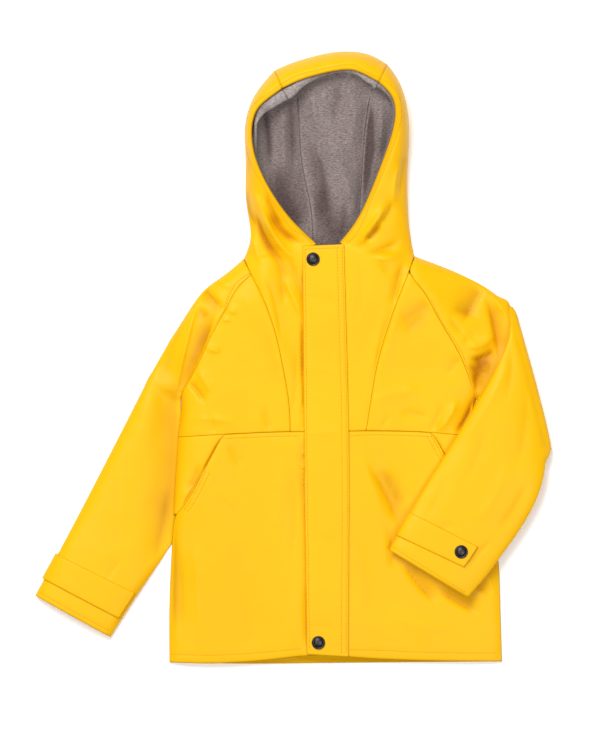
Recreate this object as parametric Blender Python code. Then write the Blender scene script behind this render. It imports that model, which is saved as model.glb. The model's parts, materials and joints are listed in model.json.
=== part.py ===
"""A small child's hooded raincoat, laid out flat on its back.

The coat lies on the plane z = 0 with its back underneath, its hood towards +Y and the
wearer's right side towards -X. The hood's face opening points up. The wearer's right
sleeve lies beside the body and partly beneath it. The left sleeve points outwards,
is folded over and lies across the front. Everything is in metres.

Each cloth piece is worked out as a sheet of points half way through the cloth, and a
Solidify modifier gives it the cloth's thickness.
"""

import math

import bmesh
import bpy
import numpy as np
from mathutils import Matrix, Vector

# ---------------------------------------------------------------- driving sizes

CLOTH = 0.0012  # coated cloth, one layer
JERSEY = 0.0010  # the hood's lining
FLAP_CLOTH = 0.0020  # the storm flap, which is cloth folded double
GAP = 0.0003  # between pieces at a seam
SNAP_RADIUS = 0.0075
SNAP_HEIGHT = 0.0024
SNAP_INSET = 0.0125  # from a strap's square end to its snap

FLOOR_SHEET = CLOTH / 2  # middle of a sheet that rests on the surface
EDGE_HEIGHT = FLOOR_SHEET + CLOTH + 2 * GAP  # middle of the front's sheet at its side seam
ON_CLOTH = CLOTH + GAP  # from the middle of one sheet to the middle of the next
TUCK_LIFT = 2 * ON_CLOTH + GAP  # how far the tucked sleeve lifts the body's edge
CUFF_LIFT = SNAP_HEIGHT + 2 * GAP + ON_CLOTH  # the right cuff stands on its hidden snap

FLAP_STAND = CLOTH / 2 + FLAP_CLOTH / 2 + 2 * GAP  # from the front's sheet to the flap's
MOUTH_GAPE = 0.0020  # how far the right pocket's mouth stands open
HEM_FOLD = 0.0022  # width of the turned edge's fold round the hood's opening
HOOD_EDGE = 0.0080  # height of the hood's outer edge above the surface
SLEEVE_CROWN = 0.0135
SIDE_SOFTNESS = 0.045  # how far in from a side seam the front is still rising
SHOULDER_SOFTNESS = 0.040


def table(names, *rows):
    """Rows of sizes under named columns."""
    return {n: np.array(c, float) for n, c in zip(names.split(), zip(*rows))}


# The body's two side seams, from the hem up to the armpit. Above the armpit the
# rows lead away outwards, where the front runs on into the sleeve.
RIGHT_SIDE = table(
    "y x",
    (-0.344, -0.140),
    (-0.276, -0.140),
    (-0.212, -0.137),
    (-0.153, -0.134),
    (-0.090, -0.130),
    (-0.043, -0.127),
    (-0.028, -0.131),
    (0.000, -0.150),
    (0.030, -0.180),
    (0.090, -0.260),
)
LEFT_SIDE = table(
    "y x",
    (-0.344, 0.234),
    (-0.276, 0.232),
    (-0.226, 0.230),
    (-0.161, 0.219),
    (-0.090, 0.209),
    (-0.046, 0.205),
    (-0.020, 0.235),
    (0.010, 0.290),
    (0.090, 0.380),
)
# How far the front stands above the surface, down the middle of the body.
CROWN = table(
    "y height",
    (-0.345, 0.0090),
    (-0.300, 0.0110),
    (-0.200, 0.0135),
    (-0.084, 0.0150),
    (0.000, 0.0160),
    (0.060, 0.0185),
    (0.100, 0.0210),
    (0.130, 0.0225),
)
# Where the right sleeve is tucked beneath the body and lifts it.
TUCK = table(
    "y share",
    (-0.300, 0.0),
    (-0.262, 0.0),
    (-0.225, 1.0),
    (-0.055, 1.0),
    (-0.043, 0.9),
    (-0.015, 0.0),
    (0.030, 0.0),
)
# The body's largest folds. Each is a soft ridge, or a trough where height is below 0.
FOLDS = table(
    "x0 y0 x1 y1 width height",
    (-0.034, 0.100, -0.010, -0.010, 0.011, 0.0030),
    (-0.014, 0.105, -0.002, 0.015, 0.009, -0.0022),
    (0.086, 0.060, 0.098, 0.110, 0.016, 0.0026),
    (0.092, -0.100, 0.118, -0.200, 0.016, -0.0028),
    (0.150, -0.280, 0.215, -0.300, 0.018, -0.0022),
    (-0.120, -0.200, -0.122, -0.300, 0.012, -0.0018),
    (-0.105, 0.000, -0.085, -0.050, 0.012, 0.0020),
    (0.020, -0.290, 0.024, -0.345, 0.034, 0.0030),
)
# The hood, station by station along its face opening, from the wearer's right side of
# the neck over the forehead to the left side. rim is the opening's edge and edge is where
# the hood is widest, both seen from above. turn is how deep the cloth is turned in at the
# opening, and lip is how far the lining puffs out below that.
HOOD = table(
    "rim_x rim_y rim_z edge_x edge_y turn lip",
    (0.023, 0.126, 0.0225, -0.056, 0.111, 0.006, 0.000),
    (0.007, 0.141, 0.0270, -0.047, 0.133, 0.008, 0.000),
    (-0.008, 0.156, 0.0320, -0.051, 0.156, 0.010, 0.000),
    (-0.024, 0.178, 0.0380, -0.055, 0.180, 0.011, 0.000),
    (-0.038, 0.203, 0.0430, -0.054, 0.206, 0.011, 0.000),
    (-0.048, 0.229, 0.0470, -0.054, 0.231, 0.011, 0.001),
    (-0.051, 0.256, 0.0490, -0.056, 0.258, 0.009, 0.002),
    (-0.045, 0.279, 0.0510, -0.050, 0.284, 0.006, 0.005),
    (-0.031, 0.291, 0.0510, -0.039, 0.303, 0.004, 0.009),
    (-0.014, 0.303, 0.0500, -0.022, 0.322, 0.004, 0.010),
    (0.004, 0.312, 0.0500, -0.003, 0.331, 0.004, 0.009),
    (0.024, 0.318, 0.0510, 0.018, 0.337, 0.004, 0.007),
    (0.046, 0.323, 0.0520, 0.042, 0.343, 0.004, 0.004),
    (0.066, 0.325, 0.0520, 0.065, 0.344, 0.004, 0.004),
    (0.081, 0.318, 0.0510, 0.086, 0.341, 0.004, 0.005),
    (0.096, 0.310, 0.0500, 0.105, 0.329, 0.004, 0.006),
    (0.113, 0.295, 0.0500, 0.121, 0.308, 0.005, 0.005),
    (0.118, 0.271, 0.0480, 0.130, 0.270, 0.008, 0.004),
    (0.110, 0.240, 0.0440, 0.129, 0.234, 0.010, 0.003),
    (0.097, 0.206, 0.0390, 0.127, 0.200, 0.010, 0.001),
    (0.084, 0.173, 0.0330, 0.128, 0.166, 0.010, 0.000),
    (0.071, 0.148, 0.0280, 0.130, 0.140, 0.008, 0.000),
    (0.054, 0.128, 0.0225, 0.135, 0.114, 0.006, 0.000),
)
RIGHT_SEAM, LEFT_SEAM, LAST = 9, 15, 22  # stations of the hood's two seams and its end

# Cross-section of the lining below the hood's opening, from its outer side in to the
# seam: share of the way in, height where the hood is high, height down at the neck.
LINING_RISE = table(
    "share high low",
    (0.10, 0.0200, 0.0060),
    (0.26, 0.0120, 0.0025),
    (0.42, 0.0050, 0.0020),
    (0.66, 0.0085, 0.0035),
    (0.87, 0.0065, 0.0025),
    (0.97, 0.0005, 0.0005),
    (1.00, 0.0005, 0.0005),
)

# Seams seen from above.
RIGHT_NECK = (-0.056, 0.111)
LEFT_NECK = (0.135, 0.114)
NECK_BACK = [RIGHT_NECK, (-0.005, 0.119), (0.085, 0.120), LEFT_NECK]
BACK_NECK_START = 0.058  # share of the neck seam that is the right sleeve's
RIGHT_FRONT_SEAM = [
    RIGHT_NECK, (-0.048, 0.093), (-0.035, 0.068), (-0.022, 0.032),
    (-0.011, -0.018), (-0.005, -0.053), (-0.004, -0.084),
]
LEFT_FRONT_SEAM = [
    LEFT_NECK, (0.128, 0.093), (0.119, 0.071), (0.107, 0.038),
    (0.093, -0.010), (0.087, -0.044), (0.081, -0.083),
]
RIGHT_RAGLAN = [
    (-0.048, 0.093), (-0.061, 0.085), (-0.072, 0.065), (-0.079, 0.047),
    (-0.091, 0.030), (-0.100, 0.009), (-0.111, -0.015), (-0.127, -0.043),
]
LEFT_RAGLAN = [
    (0.128, 0.093), (0.144, 0.079), (0.153, 0.062), (0.165, 0.038),
    (0.177, 0.021), (0.188, 0.001), (0.196, -0.020), (0.205, -0.046),
]
RIGHT_BACK_RAGLAN = [(-0.0448, 0.1128), (-0.070, 0.068), (-0.096, 0.020), (-0.127, -0.043)]
LEFT_BACK_RAGLAN = [LEFT_NECK, (0.154, 0.072), (0.178, 0.020), (0.205, -0.046)]
RIGHT_OPENING = [(0.023, 0.126), (0.029, 0.112), (0.031, 0.060), (0.031, -0.084)]
LEFT_OPENING = [(0.054, 0.128), (0.040, 0.114), (0.035, 0.080), (0.035, -0.084)]
RIGHT_WAIST = [(-0.130, -0.090), (-0.080, -0.087), (-0.004, -0.084), (0.031, -0.084)]
LEFT_WAIST = [(0.035, -0.084), (0.081, -0.083), (0.156, -0.085), (0.209, -0.090)]
RIGHT_POCKET = [(-0.080, -0.087), (-0.101, -0.127), (-0.119, -0.161), (-0.135, -0.182)]
LEFT_POCKET = [(0.156, -0.085), (0.178, -0.125), (0.200, -0.161), (0.222, -0.182)]
FRONT_HEM = [
    (-0.140, -0.344), (-0.090, -0.345), (-0.026, -0.341), (0.024, -0.335),
    (0.075, -0.339), (0.150, -0.342), (0.234, -0.343),
]
BACK_HEM = [(-0.140, -0.344), (-0.060, -0.3455), (0.050, -0.3445), (0.234, -0.343)]
FLAP_RIGHT = [(0.010, 0.1245), (0.011, 0.020), (0.012, -0.115), (0.015, -0.334)]
FLAP_LEFT = [(0.056, 0.1265), (0.058, 0.050), (0.061, -0.060), (0.061, -0.337)]

# ------------------------------------------------------------------ curve tools


def hermite(knots, values, at):
    """A smooth curve through values at the knots."""
    knots, values = np.asarray(knots, float), np.asarray(values, float)
    slopes = np.gradient(values, knots, axis=0)
    at = np.clip(at, knots[0], knots[-1])
    k = np.clip(np.searchsorted(knots, at) - 1, 0, len(knots) - 2)
    span = knots[k + 1] - knots[k]
    t = (at - knots[k]) / span
    if values.ndim > 1:
        t, span = t[..., None], span[..., None]
    start, end = values[k], values[k + 1]
    rise_out, rise_in = slopes[k] * span, slopes[k + 1] * span
    return (
        (2 * t**3 - 3 * t**2 + 1) * start
        + (t**3 - 2 * t**2 + t) * rise_out
        + (3 * t**2 - 2 * t**3) * end
        + (t**3 - t**2) * rise_in
    )


def spline(points):
    """A function of t, 0 to 1, that runs evenly along a smooth curve through points."""
    points = np.array(points, float)
    steps = np.linalg.norm(np.diff(points, axis=0), axis=1)
    knots = np.concatenate([[0], np.cumsum(steps)])
    return lambda t: hermite(knots / knots[-1], points, np.asarray(t, float))


def part_of(curve, start, end):
    """The stretch of a curve from start to end, as a curve of its own."""
    return lambda t: curve(start + (end - start) * np.asarray(t, float))


def joined(first, second, share):
    """Two curves end to end. The first takes that share of t."""
    def curve(t):
        t = np.asarray(t, float)
        a, b = first(np.clip(t / share, 0, 1)), second(np.clip((t - share) / (1 - share), 0, 1))
        return np.where((t < share)[..., None], a, b)
    return curve


def read(rows, column, at):
    """A table's column at a value of its first column, smoothly."""
    key = next(iter(rows))
    return hermite(rows[key], rows[column], np.asarray(at, float))


def side_of(rows, high, low):
    """A side seam as a curve from the height high down to low."""
    def curve(t):
        y = high + (low - high) * np.asarray(t, float)
        return np.stack([read(rows, "x", y), y], axis=-1)
    return curve


def ease(t):
    """0 to 1 with flat ends."""
    t = np.clip(t, 0, 1)
    return t * t * (3 - 2 * t)


def pillow(t):
    """How full a laid-out garment is, from 0 at its edge to 1 inside."""
    t = np.clip(t, 0, 1)
    return np.sqrt(1 - (1 - t) ** 2)


def patch(top, bottom, left, right, across, down):
    """Points of a panel bounded by four curves, rows running down it."""
    u, v = np.array(across)[None, :, None], np.array(down)[:, None, None]
    t, b = top(np.array(across))[None], bottom(np.array(across))[None]
    l, r = left(np.array(down))[:, None], right(np.array(down))[:, None]
    corners = (
        (1 - u) * (1 - v) * t[:, :1] + u * (1 - v) * t[:, -1:]
        + (1 - u) * v * b[:, :1] + u * v * b[:, -1:]
    )
    return (1 - v) * t + v * b + (1 - u) * l + u * r - corners


def distance(points, line):
    """How far each point is from a line of points, seen from above."""
    line = np.array(line, float)
    best = np.full(points.shape[:-1], 9.0)
    for a, b in zip(line[:-1], line[1:]):
        along = np.clip(((points - a) @ (b - a)) / ((b - a) @ (b - a)), 0, 1)
        best = np.minimum(best, np.linalg.norm(points - a - along[..., None] * (b - a), axis=-1))
    return best


# ------------------------------------------------------------- the front's form

RIGHT_SHOULDER = [RIGHT_NECK, (-0.077, 0.092), (-0.101, 0.078), (-0.116, 0.056), (-0.151, -0.001)]
LEFT_SHOULDER = [LEFT_NECK, (0.193, 0.091), (0.231, 0.070), (0.246, 0.056)]


def folds(points):
    """The height that the body's folds add."""
    added = np.zeros(points.shape[:-1])
    for x0, y0, x1, y1, width, height in zip(*FOLDS.values()):
        away = distance(points, [(x0, y0), (x1, y1)])
        added += height * np.exp(-((away / width) ** 2))
    return added


def tuck_lift(points):
    """How far the tucked sleeve lifts the sheets that lie on it."""
    x, y = points[..., 0], points[..., 1]
    inside = x - read(RIGHT_SIDE, "x", y)
    return TUCK_LIFT * np.clip(read(TUCK, "share", y), 0, 1) * (1 - ease((inside - 0.040) / 0.045))


def front_height(points):
    """Height of the front's sheet above the surface, over points seen from above."""
    x, y = points[..., 0], points[..., 1]
    sides = pillow((x - read(RIGHT_SIDE, "x", y)) / SIDE_SOFTNESS)
    sides = sides * pillow((read(LEFT_SIDE, "x", y) - x) / SIDE_SOFTNESS)
    shoulder = np.minimum(distance(points, RIGHT_SHOULDER), distance(points, LEFT_SHOULDER))
    full = sides * pillow(shoulder / SHOULDER_SOFTNESS)
    pressed = 1 - 0.26 * ease((x - 0.075) / 0.060) * ease((0.030 - y) / 0.060)
    rise = (read(CROWN, "height", y) * pressed - EDGE_HEIGHT + folds(points)) * full
    return EDGE_HEIGHT + tuck_lift(points) + rise


def back_height(points):
    return FLOOR_SHEET + tuck_lift(points)


def raised(points, height):
    """Points seen from above, with their heights."""
    return np.concatenate([points, np.asarray(height)[..., None]], axis=-1)


# ----------------------------------------------------------------- making solids

for old in list(bpy.data.objects):
    bpy.data.objects.remove(old)

COAT = bpy.data.objects.new("raincoat", None)
bpy.context.scene.collection.objects.link(COAT)


def material(name, colour, roughness, metallic=0.0):
    made = bpy.data.materials.new(name)
    made.use_nodes = True
    shader = made.node_tree.nodes["Principled BSDF"]
    shader.inputs["Base Color"].default_value = (*colour, 1)
    shader.inputs["Roughness"].default_value = roughness
    shader.inputs["Metallic"].default_value = metallic
    return made


YELLOW = material("coated_cloth", (0.96, 0.60, 0.01), 0.42)
GREY = material("jersey_lining", (0.22, 0.19, 0.19), 0.95)
GUNMETAL = material("snap_metal", (0.05, 0.045, 0.045), 0.25, 1.0)


def unit(vectors):
    return vectors / np.linalg.norm(vectors, axis=-1, keepdims=True)


def inset(grid, borders="top bottom left right", gap=GAP):
    """The grid with borders drawn in by half a gap, square to themselves."""
    drawn = grid.copy()
    rows = {"top": (0, 1), "bottom": (-1, -2)}
    columns = {"left": (0, 1), "right": (-1, -2)}
    for name in borders.split():
        first, second = {**rows, **columns}[name]
        if name in columns:
            border, inner, target = grid[:, first], grid[:, second], drawn[:, first]
        else:
            border, inner, target = grid[first], grid[second], drawn[first]
        along = unit(np.gradient(border, axis=0))
        way = inner - border
        reach = np.linalg.norm(way, axis=-1, keepdims=True)
        way = way - along * (way * along).sum(axis=-1, keepdims=True)
        square = np.linalg.norm(way, axis=-1, keepdims=True)
        target += np.where(square > 0.1 * reach, way / np.maximum(square, 1e-9), 0) * gap / 2
    return drawn


def finished(name, mesh, finish, thickness=0.0):
    data = bpy.data.meshes.new(name)
    mesh.to_mesh(data)
    mesh.free()
    data.materials.append(finish)
    data.shade_smooth()
    data.set_sharp_from_angle(angle=math.radians(50))
    piece = bpy.data.objects.new(name, data)
    bpy.context.scene.collection.objects.link(piece)
    piece.parent = COAT
    if thickness:
        wall = piece.modifiers.new("cloth", "SOLIDIFY")
        wall.thickness = thickness
        wall.offset = 0.0
        wall.use_even_offset = False
    return piece


def cloth(name, grids, thickness, finish, tubes=()):
    """One cloth piece: grids of points, joined where their points meet, made a wall.
    In tubes each row's last point joins its first, as round a sleeve."""
    mesh = bmesh.new()
    for place, grid in enumerate([*grids, *tubes]):
        verts = [[mesh.verts.new(p) for p in row] for row in grid]
        for upper, lower in zip(verts[:-1], verts[1:]):
            if place >= len(grids):
                upper, lower = upper + upper[:1], lower + lower[:1]
            for a, b, c, d in zip(upper[:-1], upper[1:], lower[1:], lower[:-1]):
                mesh.faces.new((a, d, c, b))
    bmesh.ops.remove_doubles(mesh, verts=mesh.verts, dist=GAP / 10)
    bmesh.ops.recalc_face_normals(mesh, faces=mesh.faces)
    return finished(name, mesh, finish, thickness)


# ------------------------------------------------------------------------- body

ACROSS = [0, 0.04, 0.11, 0.22, 0.36, 0.52, 0.68, 0.84, 1]  # denser at a side seam
DOWN = np.linspace(0, 1, 11)
RAGLAN_ROWS = [1 - a for a in ACROSS[::-1]]  # along a raglan seam, from the neck down


def share_at(points, corner):
    """How far along a line of points one of its corners lies."""
    lengths = np.linalg.norm(np.diff(np.array(points), axis=0), axis=1)
    return lengths[:corner].sum() / lengths.sum()


def back_panel():
    """The back: one panel from the neck to the hem, between the two sleeves."""
    armpit = 0.36
    left = joined(spline(RIGHT_BACK_RAGLAN), side_of(RIGHT_SIDE, -0.043, -0.344), armpit)
    right = joined(spline(LEFT_BACK_RAGLAN), side_of(LEFT_SIDE, -0.046, -0.343), armpit)
    across = [0, 0.05, 0.11, 0.17, 0.24, 0.33, 0.45, 0.57, 0.69, 0.81, 0.91, 1]
    down = [*np.array(RAGLAN_ROWS) * armpit, *np.linspace(armpit, 1, 12)[1:]]
    top = part_of(neck_line, BACK_NECK_START, 1)
    plan = patch(top, spline(BACK_HEM), left, right, across, down)
    cloth("back_panel", [inset(raised(plan, back_height(plan)))], CLOTH, YELLOW)


def neck_line(t):
    """The back's neck seam, in three straight runs."""
    points = np.array(NECK_BACK)
    places = [share_at(NECK_BACK, k) for k in range(len(points))]
    return np.stack([np.interp(t, places, points[:, 0]), np.interp(t, places, points[:, 1])], axis=-1)


def chest_panel(side, raglan, seam, waist, waist_share, rows):
    """Between the raglan seam, the side seam, the waist seam and the hood-front's seam."""
    top = part_of(spline(raglan), 1, 0)
    at_side = 0.0 if side == "right" else 1.0
    bottom = part_of(spline(waist), at_side, waist_share)
    flank = side_of(rows, raglan[-1][1], bottom(0.0)[1])
    inner = part_of(spline(seam), share_at(seam, 1), 1)
    plan = patch(top, bottom, flank, inner, ACROSS, DOWN)
    cloth(f"{side}_chest_panel", [inset(raised(plan, front_height(plan)))], CLOTH, YELLOW)


def lower_front(side, waist, pocket, rows, hem_start, hem_end, waist_start, waist_end, gape):
    """Below the waist seam. Its slanted upper corner is the pocket's mouth, which lies
    on the pocket facing and stands open by gape."""
    hem = spline(FRONT_HEM)
    mouth = 0.36
    bottom = part_of(hem, hem_start, hem_end)
    outer = joined(spline(pocket), side_of(rows, pocket[-1][1], bottom(0.0)[1]), mouth)
    top = part_of(spline(waist), waist_start, waist_end)
    middle = spline([top(1.0), bottom(1.0)])
    down = [*np.linspace(0, mouth, 7), *np.linspace(mouth, 1, 9)[1:]]
    plan = patch(top, bottom, outer, middle, ACROSS, down)
    over_facing = 1 - ease((distance(plan, pocket) - 0.016) / 0.016)
    at_mouth = 1 - ease(distance(plan, pocket[1:3]) / 0.020)
    height = front_height(plan) + (ON_CLOTH + 2 * GAP) * over_facing + gape * at_mouth
    cloth(f"{side}_lower_front", [inset(raised(plan, height))], CLOTH, YELLOW)


def pocket_facing(side, waist, pocket, rows, waist_corner):
    """The piece behind the slanted pocket mouth. It runs on under the lower front."""
    inward = 1 if side == "right" else -1
    foot = np.array(pocket[2]) * 0.24 + np.array(pocket[3]) * 0.76
    low = foot[1]
    at_side, beyond = (0.0, 0.06) if side == "right" else (1.0, -0.06)
    top = part_of(spline(waist), at_side, share_at(waist, waist_corner) + beyond)
    flank = side_of(rows, top(0.0)[1], low)
    inner = spline([
        top(1.0),
        np.array(pocket[1]) + [inward * 0.012, 0],
        np.array(pocket[2]) + [inward * 0.009, 0],
        foot - [inward * GAP, 0],
    ])
    bottom = spline([flank(1.0), inner(1.0)])
    plan = patch(top, bottom, flank, inner, [0, 0.08, 0.25, 0.5, 0.75, 1], np.linspace(0, 1, 8))
    cloth(f"{side}_pocket_facing", [inset(raised(plan, front_height(plan)))], CLOTH, YELLOW)


def flap_height(points):
    """The storm flap's sheet, clear of all the front that lies under and beside it."""
    shifts = [-0.008, -0.004, 0, 0.004, 0.008]
    return np.max([front_height(points + [dx, 0]) for dx in shifts], axis=0) + FLAP_STAND


def storm_flap():
    """The flap over the front opening, folded double. Snaps hold its free right edge."""
    top = spline([FLAP_RIGHT[0], (0.033, 0.1255), FLAP_LEFT[0]])
    bottom = spline([FLAP_RIGHT[-1], FLAP_LEFT[-1]])
    across, down = [0, 0.33, 0.66, 1], np.linspace(0, 1, 21)
    plan = patch(top, bottom, spline(FLAP_RIGHT), spline(FLAP_LEFT), across, down)
    cloth("storm_flap", [raised(plan, flap_height(plan))], FLAP_CLOTH, YELLOW)


# ------------------------------------------------------------------------- hood

CURVE_ANGLES = np.radians([0, 18, 36, 54, 72, 90])
UNDER_ANGLES = np.radians([45, 90])
SIDE_SHARES = [0.3, 0.65, 1.0]
CENTRE_SHARES = [0.08, 0.2, 0.34, 0.5, 0.67, 0.84, 1.0]
TURN_COLUMNS = 3
UP = np.array([0, 0, 1.0])


def station(k):
    """The hood's rim point, its widest point and the way outwards between them."""
    at = {name: np.interp(k, np.arange(LAST + 1), column) for name, column in HOOD.items()}
    rim = np.array([at["rim_x"], at["rim_y"], at["rim_z"]])
    edge = np.array([at["edge_x"], at["edge_y"], HOOD_EDGE])
    if k in (0, LAST):
        edge[2] = EDGE_HEIGHT
    return rim, edge, unit((edge - rim) * [1, 1, 0])


def turn_depth(k):
    return min(np.interp(k, np.arange(LAST + 1), HOOD["turn"]), 0.3 * station(k)[0][2])


def turned_edge(k):
    """The cloth turned in at the opening, from its inner end up to the fold."""
    rim, _, out = station(k)
    inner = rim - out * HEM_FOLD
    return [inner - UP * turn_depth(k), inner - UP * 0.0012, rim - out * HEM_FOLD / 2]


def over_top(k):
    """From the fold outwards over the hood's side to its widest point."""
    rim, edge, _ = station(k)
    top = rim - UP * 0.0010
    flat, drop = (edge - top) * [1, 1, 0], edge[2] - top[2]
    return [top + flat * math.sin(a) + UP * drop * (1 - math.cos(a)) for a in CURVE_ANGLES]


def under_turn(k):
    """From the widest point round to the surface the hood lies on."""
    _, edge, out = station(k)
    radius = edge[2] - FLOOR_SHEET
    return [
        edge - out * radius * (1 - math.cos(a)) - UP * radius * math.sin(a)
        for a in UNDER_ANGLES
    ]


def under(k, end, shares):
    """The underside, from the widest point in to end."""
    turn = under_turn(k)
    return turn + [turn[-1] + (np.array(end) - turn[-1]) * s for s in shares]


def back_seam(side, share):
    """The seam between a side and the centre strip along the hood's underside, from
    the neck up to where it turns round the crown."""
    neck = NECK_BACK[1] if side == "right" else NECK_BACK[2]
    neck = np.array([*neck, FLOOR_SHEET])
    crown = under_turn(RIGHT_SEAM if side == "right" else LEFT_SEAM)[-1]
    return neck + (crown - neck) * share


def side_stations(side):
    return range(RIGHT_SEAM + 1) if side == "right" else range(LAST, LEFT_SEAM - 1, -1)


def hood_and_front(side, opening, seam):
    """The hood's side and the strip beside the front opening, cut in one piece."""
    stations = side_stations(side)
    rows = []
    for place, k in enumerate(stations):
        end = back_seam(side, 0.93 * place / (len(stations) - 1))
        rows.append(turned_edge(k) + over_top(k) + under(k, end, SIDE_SHARES))
    hood = inset(np.array(rows))
    neck = hood[0, TURN_COLUMNS:TURN_COLUMNS + len(CURVE_ANGLES)]
    spread = np.sin(CURVE_ANGLES)[None, :, None]
    below_raglan = share_at(seam, 1)
    down = below_raglan + (1 - below_raglan) * DOWN
    down = np.array([0, 0.2 * below_raglan, 0.5 * below_raglan, *down])
    inner, outer = spline(opening)(down)[:, None], spline(seam)(down)[:, None]
    plan = inner + (outer - inner) * spread
    strip = inset(raised(plan, front_height(plan)), "bottom left right")
    strip[0] = neck
    cloth(f"{side}_hood_and_front", [hood, strip], CLOTH, YELLOW)


def hood_centre():
    """The strip over the head, from the forehead to the neck seam."""
    rows = []
    start, end = share_at(NECK_BACK, 1), share_at(NECK_BACK, 2)
    for k in range(RIGHT_SEAM, LEFT_SEAM + 1):
        share = (k - RIGHT_SEAM) / (LEFT_SEAM - RIGHT_SEAM)
        low = [*neck_line(start + (end - start) * share), FLOOR_SHEET]
        rows.append(turned_edge(k) + over_top(k) + under(k, low, CENTRE_SHARES))
    cloth("hood_centre_strip", [inset(np.array(rows))], CLOTH, YELLOW)


# ----------------------------------------------------------------------- lining

LINING_FLOOR = FLOOR_SHEET + CLOTH / 2 + 2 * GAP + JERSEY / 2
LINING_RIGHT_SEAM = table(
    "y x", (0.119, 0.022), (0.170, 0.019), (0.215, 0.009), (0.260, 0.006), (0.310, 0.004)
)
LINING_LEFT_SEAM = table(
    "y x", (0.119, 0.070), (0.170, 0.074), (0.215, 0.077), (0.260, 0.080), (0.310, 0.088)
)
LINING_LEVELS = [0.296, 0.280, 0.262, 0.244, 0.224, 0.204, 0.184, 0.164, 0.142, 0.119]


def lining_start(k):
    """The lining from the turned edge over its soft lip and out to the hood's wall."""
    rim, edge, out = station(k)
    lip = np.interp(k, np.arange(LAST + 1), HOOD["lip"])
    first = rim - out * HEM_FOLD - UP * (turn_depth(k) + GAP)
    reach, drop = np.linalg.norm((edge - rim)[:2]), rim[2] - 0.0010 - edge[2]
    angle = math.radians(58)
    normal = unit(out * drop * math.sin(angle) + UP * reach * math.cos(angle))
    wall = rim - UP * 0.0010 + out * reach * math.sin(angle) - UP * drop * (1 - math.cos(angle))
    return [first, first - out * lip - UP * (0.003 + 0.3 * lip), wall - normal * 0.0030]


def lining_seam(side, y):
    """A point of the lining's seam along the hood's floor."""
    rows = LINING_RIGHT_SEAM if side == "right" else LINING_LEFT_SEAM
    climb = 0.012 * ease((y - 0.240) / 0.060)
    return np.array([read(rows, "x", y), y, LINING_FLOOR + 0.0005 + climb])


def lining_side(side):
    """One side of the lining, from the opening round to the seam on the hood's floor."""
    rows = []
    stations = side_stations(side)
    for place, k in enumerate(stations):
        row = lining_start(k)
        wall = row[-1]
        shares = np.linspace(0, 1, len(LINING_LEVELS))
        level = np.interp(place / (len(stations) - 1), shares, LINING_LEVELS[::-1])
        end = lining_seam(side, level)
        high = ease((station(k)[0][2] - 0.024) / 0.020)
        for share, tall, low in zip(*LINING_RISE.values()):
            point = wall + (end - wall) * share
            if k != stations[-1]:
                point[2] = end[2] + low - 0.0005 + (tall - low) * high
            row.append(point)
        rows.append(row)
    cloth(f"{side}_hood_lining", [inset(np.array(rows), gap=3 * GAP)], JERSEY, GREY)


def lining_centre():
    """The lining's centre strip: down from the forehead and along the hood's floor."""
    columns = []
    for share in [0, 0.03, 0.17, 0.33, 0.50, 0.67, 0.83, 0.97, 1]:
        column = lining_start(RIGHT_SEAM + share * (LEFT_SEAM - RIGHT_SEAM))
        inside = min(max((share - 0.03) / 0.94, 0), 1)
        puff = 4 * inside * (1 - inside)
        for y in LINING_LEVELS:
            right, left = lining_seam("right", y), lining_seam("left", y)
            full = 0.0110 - 0.0060 * ease((0.20 - y) / 0.08)
            column.append(right + (left - right) * share + UP * puff * full)
        columns.append(column)
    cloth("centre_hood_lining", [inset(np.array(columns), gap=3 * GAP)], JERSEY, GREY)


# ---------------------------------------------------------------------- sleeves

SLEEVE_FRONT = [0, 0.04, 0.13, 0.30, 0.50, 0.70, 0.86, 0.96, 1]  # from its inner edge out
SLEEVE_REAR = [0.96, 0.80, 0.55, 0.30, 0.10, 0]  # back from its outer edge
ARMPIT_PLAY = (-0.0009, 0.0)  # the sleeve's corner stands off the body's corner there
ARMPIT_ROW = 0.389  # share of the right sleeve's outer edge that is above the armpit
NECK_RUN = 0.105  # share of the left sleeve's front seam that is above the chest panel
RING_TOP = [0, NECK_RUN * 0.2, NECK_RUN * 0.5, *[NECK_RUN + (1 - NECK_RUN) * a for a in RAGLAN_ROWS]]
RING_BOTTOM = [0.985, *RAGLAN_ROWS[-2:0:-1], 0.03]
TOPS = len(RING_TOP)
RIGHT_CUFF = [(-0.207, -0.315), (-0.292, -0.268)]
LEFT_CUFF = [(0.107, -0.217), (0.195, -0.270)]


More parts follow.
